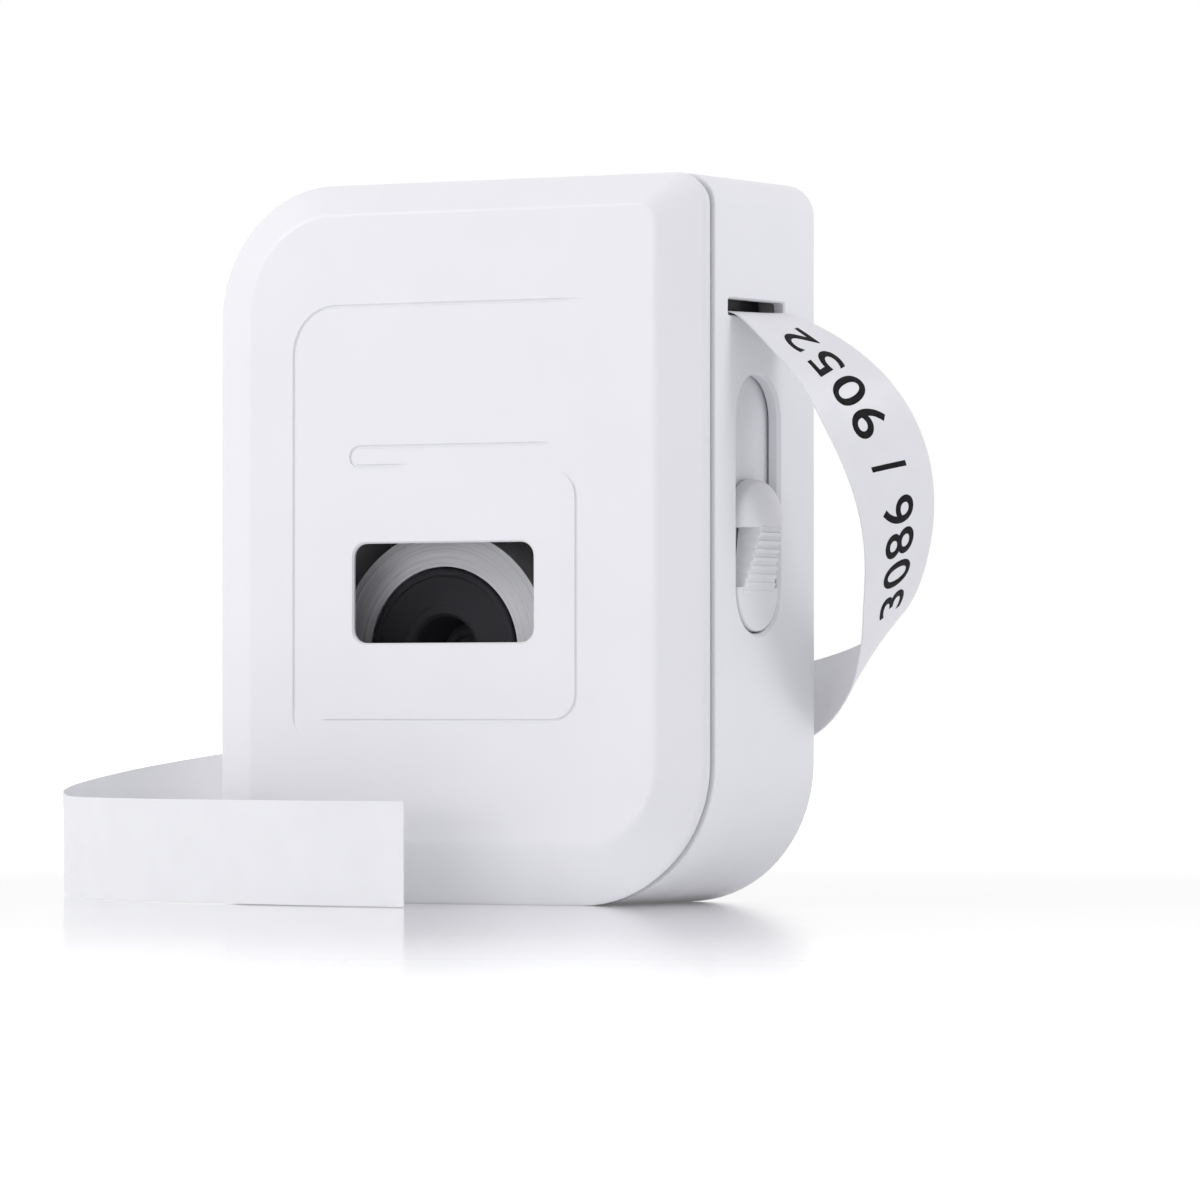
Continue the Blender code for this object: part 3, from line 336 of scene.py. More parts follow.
def rubber():
    look = Look("rubber")
    look.colour(look.noise(400.0, 5.0), (0.018, 0.018, 0.020), (0.040, 0.040, 0.043))
    look.rough(look.noise(900.0, 4.0), 0.62, 0.80)
    look.bump(look.noise(2600.0, 3.0), 0.02, 0.6)
    return look.material


def clear(name, tint, alpha):
    """Clear or frosted acrylic with the finest of polishing marks."""
    look = Look(name)
    look.set("Base Color", (*tint, 1.0))
    look.set("Transmission Weight", 0.0)
    look.set("Alpha", alpha)
    look.set("Specular IOR Level", 0.3)
    look.rough(look.noise(300.0, 4.0), 0.03, 0.09)
    look.bump(look.noise(90.0, 2.0), 0.01, 0.2)
    return look.material


def circuit_board():
    """Green solder mask over copper tracks."""
    look = Look("circuit_board")
    tracks = look.node("ShaderNodeTexBrick", {
        "Scale": 260.0, "Mortar Size": 0.06, "Color1": (0.012, 0.10, 0.045, 1.0),
        "Color2": (0.014, 0.12, 0.05, 1.0), "Mortar": (0.03, 0.22, 0.09, 1.0),
    })
    turn = look.node("ShaderNodeMapping", {"Rotation": (math.pi / 2, 0.0, 0.0)})
    look.link(look.place, turn.inputs["Vector"])
    look.link(turn.outputs[0], tracks.inputs["Vector"])
    look.link(tracks.outputs["Color"], look.shader.inputs["Base Color"])
    look.bump(tracks.outputs["Fac"], 0.03, 0.8)
    look.rough(look.noise(500.0), 0.25, 0.4)
    look.set("Coat Weight", 0.4)
    return look.material


def wrap():
    """Blue shrink film over the cell, with slight puckers."""
    look = Look("battery_wrap")
    look.colour(look.noise(180.0, 4.0), (0.05, 0.085, 0.20), (0.075, 0.12, 0.26))
    look.rough(look.noise(300.0), 0.25, 0.4)
    look.bump(look.noise(260.0, 3.0, 0.5, (1.0, 1.0, 0.3)), 0.12, 0.6)
    return look.material


def ink():
    """Thermal print: matt black with a faint dotted grain."""
    look = Look("thermal_ink")
    look.colour(look.noise(5200.0, 2.0), (0.003, 0.003, 0.004), (0.010, 0.010, 0.012))
    look.rough(look.noise(1500.0), 0.6, 0.75)
    look.set("Specular IOR Level", 0.12)
    return look.material


ROLL = Vector(JOINTS["roll_spin"]["pos_m"]) / MM
SHELL = moulded("shell_plastic", (0.772, 0.770, 0.797), (0.785, 0.783, 0.809), 0.40)
INNER = moulded("inner_plastic", (0.30, 0.30, 0.32), (0.34, 0.34, 0.36), 0.5)
GREY = moulded("grey_plastic", (0.10, 0.103, 0.11), (0.12, 0.122, 0.13), 0.46)
CORE = moulded("core_plastic", (0.026, 0.025, 0.031), (0.034, 0.033, 0.040), 0.66, 12000.0, 0.003, 0.2)
ACETAL = moulded("gear_plastic", (0.66, 0.645, 0.60), (0.72, 0.71, 0.67), 0.36)
RED = moulded("lead_insulation", (0.42, 0.02, 0.015), (0.5, 0.03, 0.022), 0.42)
CERAMIC = moulded("ceramic", (0.16, 0.15, 0.14), (0.21, 0.20, 0.185), 0.22)
PAPER = paper()
WOUND = wound_paper(ROLL)
RUBBER = rubber()
CLEAR = clear("clear_plastic", (0.04, 0.042, 0.045), 0.02)
FROSTED = clear("frosted_plastic", (0.52, 0.54, 0.56), 0.8)
BOARD = circuit_board()
WRAP = wrap()
INK = ink()
STEEL = brushed("steel", (0.50, 0.51, 0.53), (0.62, 0.63, 0.65), 0.30, (1.0, 0.04, 1.0))
BLACK_STEEL = brushed("black_steel", (0.030, 0.030, 0.034), (0.050, 0.050, 0.055), 0.42, (1.0, 0.05, 1.0))
ALUMINIUM = brushed("aluminium", (0.66, 0.67, 0.69), (0.76, 0.77, 0.78), 0.34, (1.0, 0.05, 1.0))
BRASS = brushed("brass", (0.62, 0.44, 0.17), (0.74, 0.55, 0.25), 0.26, (1.0, 0.05, 1.0))
LOOKS = {
    "shell_plastic": SHELL, "inner_plastic": INNER, "clear_plastic": CLEAR, "core_plastic": CORE,
    "grey_plastic": GREY, "label_paper": PAPER, "rubber": RUBBER, "steel": STEEL,
    "aluminium": ALUMINIUM, "brass": BRASS, "gear_plastic": ACETAL, "circuit_board": BOARD,
    "battery_wrap": WRAP, "ceramic": CERAMIC, "lead_insulation": RED,
}
SLOTS = {row["node"]: row["material_slot"] for row in frame["record"]["subparts"]}
BODY_OF = {}
for body_name, body_nodes in frame["record"]["behaviour"]["bodies"].items():
    for body_node in body_nodes:
        BODY_OF[body_node] = body_name


# ---------------------------------------------------------------- mesh helpers

def link_piece(name, mesh, look, node, replaced=True):
    """A new piece that rides on a CAD node's body, and stands for the node unless told otherwise."""
    obj = bpy.data.objects.new(name, mesh)
    SCENE.collection.objects.link(obj)
    mesh.materials.append(look)
    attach(obj, BODY_OF[node])
    if replaced:
        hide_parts(node)
    return obj


def one_material(obj, look):
    """Gives a piece its one material again, since a Boolean can add slots."""
    obj.data.materials.clear()
    obj.data.materials.append(look)


def smooth(mesh, angle=32.0):
    mesh.shade_smooth()
    mesh.set_sharp_from_angle(angle=math.radians(angle))


def mesh_of(name, shape):
    bmesh.ops.recalc_face_normals(shape, faces=shape.faces)
    mesh = bpy.data.meshes.new(name)
    shape.to_mesh(mesh)
    shape.free()
    return mesh


def arc(centre, radius, start, end, steps):
    points = []
    for i in range(steps + 1):
        angle = math.radians(start + (end - start) * i / steps)
        points.append((centre[0] + radius * math.cos(angle), centre[1] + radius * math.sin(angle)))
    return points


def quarter_turn(steps):
    """(sine, cosine) pairs from 0 to 90 degrees, for rounding an edge."""
    angles = [math.pi / 2 * i / steps for i in range(steps + 1)]
    return [(math.sin(angle), math.cos(angle)) for angle in angles]


def rounded_rectangle(u_range, v_range, radii, steps):
    """Radii run from the bottom left corner counter-clockwise, as the points do."""
    (u0, u1), (v0, v1) = u_range, v_range
    bl, br, tr, tl = radii
    points = arc((u0 + bl, v0 + bl), bl, 180, 270, steps)
    points += arc((u1 - br, v0 + br), br, 270, 360, steps)
    points += arc((u1 - tr, v1 - tr), tr, 0, 90, steps)
    return points + arc((u0 + tl, v1 - tl), tl, 90, 180, steps)


def even(radius):
    return (radius,) * 4


CORNER_STEPS = 18


def case_outline(inset):
    radii = [max(radius - inset, 0.4) for radius in CORNER_RADII]
    return rounded_rectangle((LEFT_X + inset, RIGHT_X - inset), (inset, HEIGHT - inset), radii,
                             CORNER_STEPS)


def face_outline(inset):
    radii = [max(radius - inset, 0.4) for radius in FACE_RADII]
    u_range = (LEFT_X + FACE_INSET["left"] + inset, RIGHT_X - FACE_INSET["right"] - inset)
    v_range = (FACE_INSET["bottom"] + inset, HEIGHT - FACE_INSET["top"] - inset)
    return rounded_rectangle(u_range, v_range, radii, CORNER_STEPS)


def between(outer, inner, share):
    """An outline part of the way from one to the other, or past it."""
    return [(a[0] + (b[0] - a[0]) * share, a[1] + (b[1] - a[1]) * share) for a, b in zip(outer, inner)]


def to_world(axis, height, u, v):
    """A point drawn on a plane across an axis, in metres."""
    place = {"X": (height, u, v), "Y": (u, height, v), "Z": (u, v, height)}[axis]
    return Vector(place) * MM


def skin(shape, rings):
    """Faces from each closed ring of vertices to the next."""
    for near, far in zip(rings, rings[1:]):
        for i in range(len(near)):
            j = (i + 1) % len(near)
            shape.faces.new((near[i], near[j], far[j], far[i]))


def lofted(name, axis, sections):
    """A closed skin through outlines given as (place along the axis, points)."""
    shape = bmesh.new()
    rings = [[shape.verts.new(to_world(axis, height, u, v)) for u, v in outline]
             for height, outline in sections]
    skin(shape, rings)
    shape.faces.new(rings[0])
    shape.faces.new(rings[-1])
    return mesh_of(name, shape)


def turned_mesh(name, profile, centre, axis="Y", steps=64, closed=False):
    """Spins (radius, place along the axis) points about an axis through centre."""
    shape = bmesh.new()
    rings = []
    for i in range(steps):
        angle = 2 * math.pi * i / steps
        ring = []
        for radius, along in profile:
            u, v = radius * math.cos(angle), radius * math.sin(angle)
            offset = {"X": (along, u, v), "Y": (u, along, v), "Z": (u, v, along)}[axis]
            ring.append(shape.verts.new((Vector(centre) + Vector(offset)) * MM))
        rings.append(ring)
    count = len(profile)
    for i in range(steps):
        near, far = rings[i], rings[(i + 1) % steps]
        for k in range(count if closed else count - 1):
            m = (k + 1) % count
            shape.faces.new((near[k], near[m], far[m], far[k]))
    if not closed:
        bmesh.ops.remove_doubles(shape, verts=shape.verts, dist=1e-7)
    return mesh_of(name, shape)


def swept(name, path, radii, sides=10):
    """A round bar along a 3D path, its radius given at each point, with closed ends."""
    shape = bmesh.new()
    rings = []
    normal = None
    for i, place in enumerate(path):
        along = (path[min(i + 1, len(path) - 1)] - path[max(i - 1, 0)]).normalized()
        if normal is None:
            normal = along.orthogonal().normalized()
        normal = (normal - along * normal.dot(along)).normalized()
        side = along.cross(normal)
        ring = []
        for k in range(sides):
            angle = 2 * math.pi * k / sides
            offset = normal * math.cos(angle) + side * math.sin(angle)
            ring.append(shape.verts.new((place + offset * radii[i]) * MM))
        rings.append(ring)
    skin(shape, rings)
    shape.faces.new(rings[0])
    shape.faces.new(rings[-1])
    return mesh_of(name, shape)


def boolean(obj, mesh, operation="DIFFERENCE"):
    """Applies one Boolean with a mesh that is then thrown away."""
    tool = bpy.data.objects.new("tool", mesh)
    SCENE.collection.objects.link(tool)
    modifier = obj.modifiers.new("boolean", "BOOLEAN")
    modifier.operation = operation
    modifier.object = tool
    modifier.solver = "EXACT"
    apply_modifiers(obj)
    bpy.data.objects.remove(tool, do_unlink=True)


def apply_modifiers(obj):
    bpy.context.view_layer.update()
    graph = bpy.context.evaluated_depsgraph_get()
    mesh = bpy.data.meshes.new_from_object(obj.evaluated_get(graph))
    obj.modifiers.clear()
    obj.data = mesh


def soften(obj, width, angle=40.0):
    """Rounds the edges that turn by more than an angle."""
    modifier = obj.modifiers.new("edges", "BEVEL")
    modifier.width = width * MM
    modifier.segments = 2
    modifier.limit_method = "ANGLE"
    modifier.angle_limit = math.radians(angle)
    modifier.harden_normals = False
    apply_modifiers(obj)


def flat_shading(obj):
    """Keeps each broad face flat, so that only the rounded edges beside it turn the light."""
    modifier = obj.modifiers.new("flat_faces", "WEIGHTED_NORMAL")
    modifier.mode = "FACE_AREA"
    modifier.weight = 100
    modifier.keep_sharp = True
    apply_modifiers(obj)


def flared(axis, outline_at, mouth, depth, flare, steps=4):
    """Sections of a cutter with a rounded mouth: outline_at(grow) widens towards the surface.

    mouth is the surface's place along the axis, and depth is signed, into the piece."""
    way = 1.0 if depth > 0 else -1.0
    sections = [(mouth - way * 1.0, outline_at(flare))]
    for sine, _ in quarter_turn(steps):
        sections.append((mouth + way * flare * sine, outline_at(flare * (1 - sine))))
    sections.append((mouth + depth, outline_at(0.0)))
    return lofted("cutter", axis, sections)


# ---------------------------------------------------------------- front cover

CHAMFER_START_Y = FRONT_Y + CHAMFER_DEPTH
HINGE_RADIUS = 1.1
HINGE_BORE = 0.65
KNUCKLE = 4.0
HINGE_BASES_Z = (14.0, 64.0)
SNAP_TABS_Z = ((26.0, 31.0), (90.5, 95.5))
WINDOW_X = (-16.3, 14.1)
WINDOW_Z = (37.9, 52.4)
WINDOW_RADIUS = 2.1
WINDOW_LIP = 0.6
LENS_MARGIN = 1.6
GROOVE_RADIUS = 0.28


def eased_corner(before, corner, after, steps=6):
    """Points on a curve from before to after that leaves a corner out."""
    points = []
    for i in range(steps + 1):
        t = i / steps
        points.append(before * (1 - t) ** 2 + corner * 2 * t * (1 - t) + after * t * t)
    return points


def chamfer_sections():
    """The cover's outer skin: a sunk band beside the parting line, a small lip, then the wide chamfer
    with both its edges rounded, and the flat face."""
    edge = 0.2
    sections = [(PARTING_Y - edge * (1 - cosine), case_outline(REVEAL + edge * (1 - sine)))
                for sine, cosine in quarter_turn(3)]
    lip = CHAMFER_START_Y + 0.55
    for sine, cosine in quarter_turn(3):
        sections.append((lip - 0.12 * sine, case_outline(REVEAL - 0.15 * (1 - cosine))))
    sections.append((lip - 0.16, case_outline(0.18)))
    for sine, cosine in quarter_turn(3)[1:]:
        sections.append((lip - 0.16 - 0.18 * sine, case_outline(0.18 * cosine)))
    start, end = Vector((CHAMFER_START_Y, 0.0)), Vector((FRONT_Y, 1.0))
    slope = end - start
    rounded = eased_corner(Vector((CHAMFER_START_Y + 0.15, 0.0)), start, start + slope * 0.12)
    rounded += eased_corner(start + slope * 0.90, end, Vector((FRONT_Y, 1.06)))
    for place, share in rounded:
        sections.append((place, between(case_outline(0.0), face_outline(0.0), share)))
    return sections


def knuckle_spans(base):
    first = (base, base + KNUCKLE)
    middle = (first[1] + GAP, first[1] + GAP + KNUCKLE)
    return first, middle, (middle[1] + GAP, middle[1] + GAP + KNUCKLE)


def post(span, radius, x, y, steps=40, edge=0.0):
    """An upright round bar between two heights, with its rims eased by edge."""
    low, high = span
    profile = ((0.0, high), (radius - edge, high), (radius, high - edge), (radius, low + edge),
               (radius - edge, low), (0.0, low))
    if not edge:
        profile = ((0.0, high), (radius, high), (radius, low), (0.0, low))
    return turned_mesh("post", profile, (x, y, 0.0), "Z", steps)


def hinge_work(obj, own_spans, other_spans):
    """Cuts room for the other half's knuckles, adds this half's own, and bores them all."""
    for spans in other_spans:
        grown = (spans[0] - GAP, spans[1] + GAP)
        boolean(obj, post(grown, HINGE_RADIUS + 0.35, HINGE.x, HINGE.y))
    for spans in own_spans:
        boolean(obj, post(spans, HINGE_RADIUS, HINGE.x, HINGE.y, edge=0.15), "UNION")
    for base in HINGE_BASES_Z:
        spans = knuckle_spans(base)
        boolean(obj, post((spans[0][0] - 1.0, spans[2][1] + 1.0), HINGE_BORE, HINGE.x, HINGE.y, 24))


def cover_spans():
    return [knuckle_spans(base)[i] for base in HINGE_BASES_Z for i in (0, 2)]


def housing_spans():
    return [knuckle_spans(base)[1] for base in HINGE_BASES_Z]


def groove_lines():
    """The three fine lines round the window: points on the face and the share of full depth at each."""
    outer = [(23.6, 87.1)] + arc((-19.5, 80.1), 7.0, 90, 180, 14) + arc((-23.5, 27.0), 3.0, 180, 235, 8)
    inner = [(-21.8, 26.6)] + arc((17.4, 30.5), 3.9, 270, 360, 12) + arc((17.8, 59.0), 3.5, 0, 80, 10)
    upper = [(16.8, 66.5)] + arc((-15.4, 65.1), 1.4, 90, 270, 12) + [(-6.0, 63.7)]
    return ((outer, 0.35, 0.35), (inner, 0.15, 0.35), (upper, 0.10, 0.5))


def resampled(points, step):
    """Points at even spacing along a 2D line."""
    spans = [math.dist(a, b) for a, b in zip(points, points[1:])]
    total = sum(spans)
    count = max(int(total / step), 2)
    result = []
    for k in range(count + 1):
        distance = total * k / count
        i = 0
        while i < len(spans) - 1 and distance > spans[i]:
            distance -= spans[i]
            i += 1
        share = min(distance / spans[i], 1.0)
        result.append((points[i][0] + (points[i + 1][0] - points[i][0]) * share,
                       points[i][1] + (points[i + 1][1] - points[i][1]) * share))
    return result


def groove_cutter(line, fade_in, fade_out):
    """A fine round bar laid in the face, rising out of it at each end so that the line fades."""
    points = resampled(line, 0.9)
    path = []
    for i, (x, z) in enumerate(points):
        share = i / (len(points) - 1)
        depth = min(1.0, share / max(fade_in * 0.12, 0.01), (1 - share) / max(fade_out * 0.12, 0.01))
        path.append(Vector((x, FRONT_Y - GROOVE_RADIUS * (1 - depth) * 0.9 - 0.02, z)))
    return swept("groove", path, [GROOVE_RADIUS] * len(path), 12)


def front_cover():
    mesh = lofted("front_cover", "Y", chamfer_sections())
    cover = link_piece("front_cover_shell", mesh, SHELL, "front_cover")
    cavity = lofted("cavity", "Y", (
        (PARTING_Y + 1.0, case_outline(WALL)), (CHAMFER_START_Y + 0.9, case_outline(WALL)),
        (CHAMFER_START_Y + 0.4, case_outline(WALL + 0.15)), (FRONT_Y + WALL + 0.3, face_outline(0.6)),
        (FRONT_Y + WALL, face_outline(1.3)),
    ))
    boolean(cover, cavity)
    for low, high in SNAP_TABS_Z:
        boolean(cover, tab_mesh(low, high), "UNION")
    hinge_work(cover, cover_spans(), housing_spans())
    boolean(cover, flared("Y", window_outline, FRONT_Y, 4.0, 0.25))
    seat = FRONT_Y + WINDOW_LIP
    boolean(cover, lofted("seat", "Y", ((seat, window_outline(LENS_MARGIN + GAP)),
                                        (FRONT_Y + 3.5, window_outline(LENS_MARGIN + GAP)))))
    for line, fade_in, fade_out in groove_lines():
        boolean(cover, groove_cutter(line, fade_in, fade_out))
    for index in range(5):
        x = -26.0 + 13.0 * index
        boolean(cover, block((x - 0.4, FRONT_Y + WALL - 0.3, 92.0), (x + 0.4, FRONT_Y + WALL + 1.2, 96.5)),
                "UNION")
    one_material(cover, SHELL)
    smooth(cover.data, 25.0)
    flat_shading(cover)


def window_outline(grow):
    radii = even(WINDOW_RADIUS + grow / 2)
    return rounded_rectangle((WINDOW_X[0] - grow, WINDOW_X[1] + grow),
                             (WINDOW_Z[0] - grow, WINDOW_Z[1] + grow), radii, 8)


def block(low, high, edge=0.0):
    """A plain block for joining and cutting, with softened edges if asked."""
    shape = bmesh.new()
    bmesh.ops.create_cube(shape, size=1.0)
    for vert in shape.verts:
        vert.co = Vector([(a + (b - a) * (c + 0.5)) * MM for a, b, c in zip(low, high, vert.co)])
    if edge:
        bmesh.ops.bevel(shape, geom=shape.edges[:] + shape.verts[:], offset=edge * MM, segments=2,
                        profile=0.5, affect="EDGES")
    return mesh_of("block", shape)


def tab_mesh(low, high):
    """A snap tab with a small hook on its end."""
    x = INNER_RIGHT_X - GAP
    outline = [(x - 1.8, CHAMFER_START_Y - 0.2), (x - 1.2, PARTING_Y + 3.2), (x - 0.4, PARTING_Y + 3.2),
               (x, PARTING_Y + 2.4), (x, PARTING_Y + 1.9), (x - 0.5, PARTING_Y + 1.6),
               (x, CHAMFER_START_Y - 0.2)]
    return lofted("tab", "Z", ((low, outline), (high, outline)))


# ---------------------------------------------------------------- rear housing

RECESS_Y = (-6.1, 6.5)
RECESS_Z = (39.1, 76.5)
STEM_SLOT_Y = (-1.6, 2.0)
STEM_SLOT_Z = (40.8, 60.8)
SLOT_Y = (-8.7, 8.1)
SLOT_Z = (84.8, 87.2)
CONTROL_Y = 12.3
BUTTON_Z = 50.0
LIGHT_Z = 40.0
USB_Z = 27.0
PLATE_FRONT_Y = 8.3
PLATE_BACK_Y = 9.8
PLATE_SCREWS = ((-33.0, 8.0), (23.0, 8.0), (-28.0, 92.5), (33.0, 98.0))


def pill(middle, half_width, z_range, grow=0.0, steps=16):
    radius = half_width + grow
    low, high = z_range[0] - grow + radius, z_range[1] + grow - radius
    return arc((middle, low), radius, 180, 360, steps) + arc((middle, high), radius, 0, 180, steps)


def housing_sections():
    """The housing's outer skin, with a fine edge in front and a round one behind."""
    edge = 0.25
    sections = [(HOUSING_FRONT_Y + edge * (1 - sine), case_outline(edge * (1 - cosine)))
                for sine, cosine in reversed(quarter_turn(3))]
    fillet = 2.0
    for sine, cosine in quarter_turn(8):
        sections.append((REAR_Y - fillet + fillet * sine, case_outline(fillet * (1 - cosine))))
    return sections


def rear_housing():
    mesh = lofted("rear_housing", "Y", housing_sections())
    housing = link_piece("rear_housing_shell", mesh, SHELL, "rear_housing")
    inside = lofted("inside", "Y", (
        (HOUSING_FRONT_Y - 2.0, case_outline(WALL)), (INNER_REAR_Y - 0.8, case_outline(WALL)),
        (INNER_REAR_Y - 0.2, case_outline(WALL + 0.25)), (INNER_REAR_Y, case_outline(WALL + 0.8)),
    ))
    boolean(housing, inside)
    for x, z in PLATE_SCREWS:
        depth = (PLATE_BACK_Y + GAP, INNER_REAR_Y + 0.4)
        profile = ((0.0, depth[0]), (2.5, depth[0]), (2.7, depth[0] + 0.2), (2.7, depth[1]), (0.0, depth[1]))
        boolean(housing, turned_mesh("boss", profile, (x, 0.0, z), "Y", 32), "UNION")
        foot = INNER_REAR_Y - 1.3
        hole = ((0.0, depth[0] - 0.4), (1.3, depth[0] - 0.4), (1.3, foot), (0.0, foot))
        boolean(housing, turned_mesh("hole", hole, (x, 0.0, z), "Y", 24))
    hinge_work(housing, housing_spans(), cover_spans())
    middle = sum(RECESS_Y) / 2
    half = (RECESS_Y[1] - RECESS_Y[0]) / 2
    boolean(housing, flared("X", lambda grow: pill(middle, half, RECESS_Z, grow, 20), RIGHT_X, -4.0, 0.5))
    boolean(housing, flared("X", slot_outline, RIGHT_X, -4.0, 0.25))
    for z, half_width, reach, flare in ((BUTTON_Z, 1.95, 4.95, 0.2), (USB_Z, 1.9, 4.8, 0.4)):
        boolean(housing, flared("X", lambda grow: pill(CONTROL_Y, half_width, (z - reach, z + reach), grow),
                                LEFT_X, 4.0, flare))
    boolean(housing, flared("X", lambda grow: arc((CONTROL_Y, LIGHT_Z), 1.3 + grow, 0, 348, 29),
                            LEFT_X, 4.0, 0.15))
    one_material(housing, SHELL)
    smooth(housing.data, 25.0)
    flat_shading(housing)


def slot_outline(grow):
    return rounded_rectangle((SLOT_Y[0] - grow, SLOT_Y[1] + grow), (SLOT_Z[0] - grow, SLOT_Z[1] + grow),
                             even(0.5 + grow), 5)


# ---------------------------------------------------------------- cutter slider and its track

SLIDER_MIDDLE_Y = 0.2
SLIDER_HALF = 5.95
SLIDER_Z = (39.45, 61.4)
GRIP_TOP_Z = 54.4
GRIP_FOOT_Z = 44.8
GRIP_PROUD = 2.5
GRIP_HALF_WIDE = 4.8
GRIP_HALF_NARROW = 2.9
RIBS = 8


def wedge_section(share, depth):
    """The ribbed wedge cut level at a share of its height, sunk by depth where a rib gap is."""
    half = GRIP_HALF_WIDE + (GRIP_HALF_NARROW - GRIP_HALF_WIDE) * share
    face = RIGHT_X + 0.1 + (GRIP_PROUD - 0.1) * share - depth
    base = INNER_RIGHT_X + 0.12
    edge = 0.35
    near = arc((face - edge, SLIDER_MIDDLE_Y - half + edge), edge, 270, 360, 4)
    far = arc((face - edge, SLIDER_MIDDLE_Y + half - edge), edge, 0, 90, 4)
    outline = [(base, SLIDER_MIDDLE_Y - half)] + near + far + [(base, SLIDER_MIDDLE_Y + half)]
    return GRIP_FOOT_Z + (GRIP_TOP_Z - GRIP_FOOT_Z) * share, outline


def wedge():
    sections = []
    for k in range(RIBS):
        for share, depth in ((0.0, 0.0), (0.40, 0.0), (0.50, 0.34), (0.86, 0.34)):
            t = (k + share) / RIBS
            sections.append(wedge_section(t, depth * min(1.0, 0.35 + t)))
    sections.append(wedge_section(1.0, 0.0))
    sections.append((GRIP_TOP_Z + 0.6, wedge_section(1.0, 0.5)[1]))
    return lofted("wedge", "Z", sections)


def dome():
    """The smooth cap above the wedge, like a fingernail, with its lower rim eased."""
    rim_z = GRIP_TOP_Z
    reach = SLIDER_Z[1] - 0.15 - rim_z
    half = SLIDER_HALF - 0.08
    centre_z = SLIDER_Z[1] - SLIDER_HALF
    base = RIGHT_X - 0.5
    sections = []
    heights = [(0.0, 0.28), (0.06, 0.12), (0.16, 0.04), (0.32, 0.0)]
    heights += [(0.32 + (reach - 0.32) * sine, 0.0) for sine, _ in quarter_turn(16)[1:]]
    for height, ease in heights:
        above = max(rim_z + height - centre_z, 0.0)
        wide = max(math.sqrt(max(half ** 2 - above ** 2, 0.0)), 0.3) - ease
        peak = GRIP_PROUD * (1 - min(height / reach, 1.0) ** 2.0) ** 0.62 - ease
        crown = [(RIGHT_X - 0.1 + max(peak, 0.0) * math.sin(math.pi * k / 24) ** 0.8,
                  SLIDER_MIDDLE_Y - wide * math.cos(math.pi * k / 24)) for k in range(25)]
        outline = [(base, SLIDER_MIDDLE_Y - wide)] + crown + [(base, SLIDER_MIDDLE_Y + wide)]
        sections.append((rim_z + height, outline))
    return lofted("dome", "Z", sections)


def cutter_slider():
    edge = 0.45
    pad_sections = [(INNER_RIGHT_X + 0.1, pill(SLIDER_MIDDLE_Y, SLIDER_HALF, SLIDER_Z))]
    for sine, cosine in quarter_turn(4):
        pad_sections.append((RIGHT_X - edge + edge * sine,
                             pill(SLIDER_MIDDLE_Y, SLIDER_HALF, SLIDER_Z, -edge * (1 - cosine))))
    mesh = lofted("cutter_slider", "X", pad_sections)
    slider = link_piece("cutter_slider_grip", mesh, SHELL, "cutter_slider")
    for side in (-1, 1):
        far = SLIDER_MIDDLE_Y + side * 8.0
        low = SLIDER_MIDDLE_Y + side * (GRIP_HALF_WIDE - 0.3)
        high = SLIDER_MIDDLE_Y + side * (GRIP_HALF_NARROW - 0.3)
        outline = [(far, GRIP_FOOT_Z + 1.0), (low, GRIP_FOOT_Z + 1.0), (high, GRIP_TOP_Z), (far, GRIP_TOP_Z)]
        boolean(slider, lofted("flank", "X", ((INNER_RIGHT_X - 0.5, outline), (RIGHT_X + 4.0, outline))))
    boolean(slider, wedge(), "UNION")
    boolean(slider, dome(), "UNION")
    boolean(slider, block((37.95, -1.1, 41.2), (INNER_RIGHT_X + 0.6, 1.5, 46.2)), "UNION")
    one_material(slider, SHELL)
    smooth(slider.data, 28.0)


def stem_slot_outline(grow):
    y_range = (STEM_SLOT_Y[0] - grow, STEM_SLOT_Y[1] + grow)
    z_range = (STEM_SLOT_Z[0] - grow, STEM_SLOT_Z[1] + grow)
    return rounded_rectangle(y_range, z_range, even(0.8 + grow), 6)


def slider_track():
    """The recess floor, with an eased slot for the slider's stem."""
    back = INNER_RIGHT_X - GAP - 0.6
    outer = rounded_rectangle((RECESS_Y[0] - 1.6, RECESS_Y[1] + 1.2), (36.6, 79.0), even(2.0), 8)
    mesh = lofted("slider_track", "X", ((back, outer), (back + 0.6, outer)))
    track = link_piece("slider_track_plate", mesh, SHELL, "slider_track")
    boolean(track, flared("X", stem_slot_outline, back + 0.6, -2.0, 0.12))
    one_material(track, SHELL)
    soften(track, 0.08)
    smooth(track.data)


# ---------------------------------------------------------------- tape

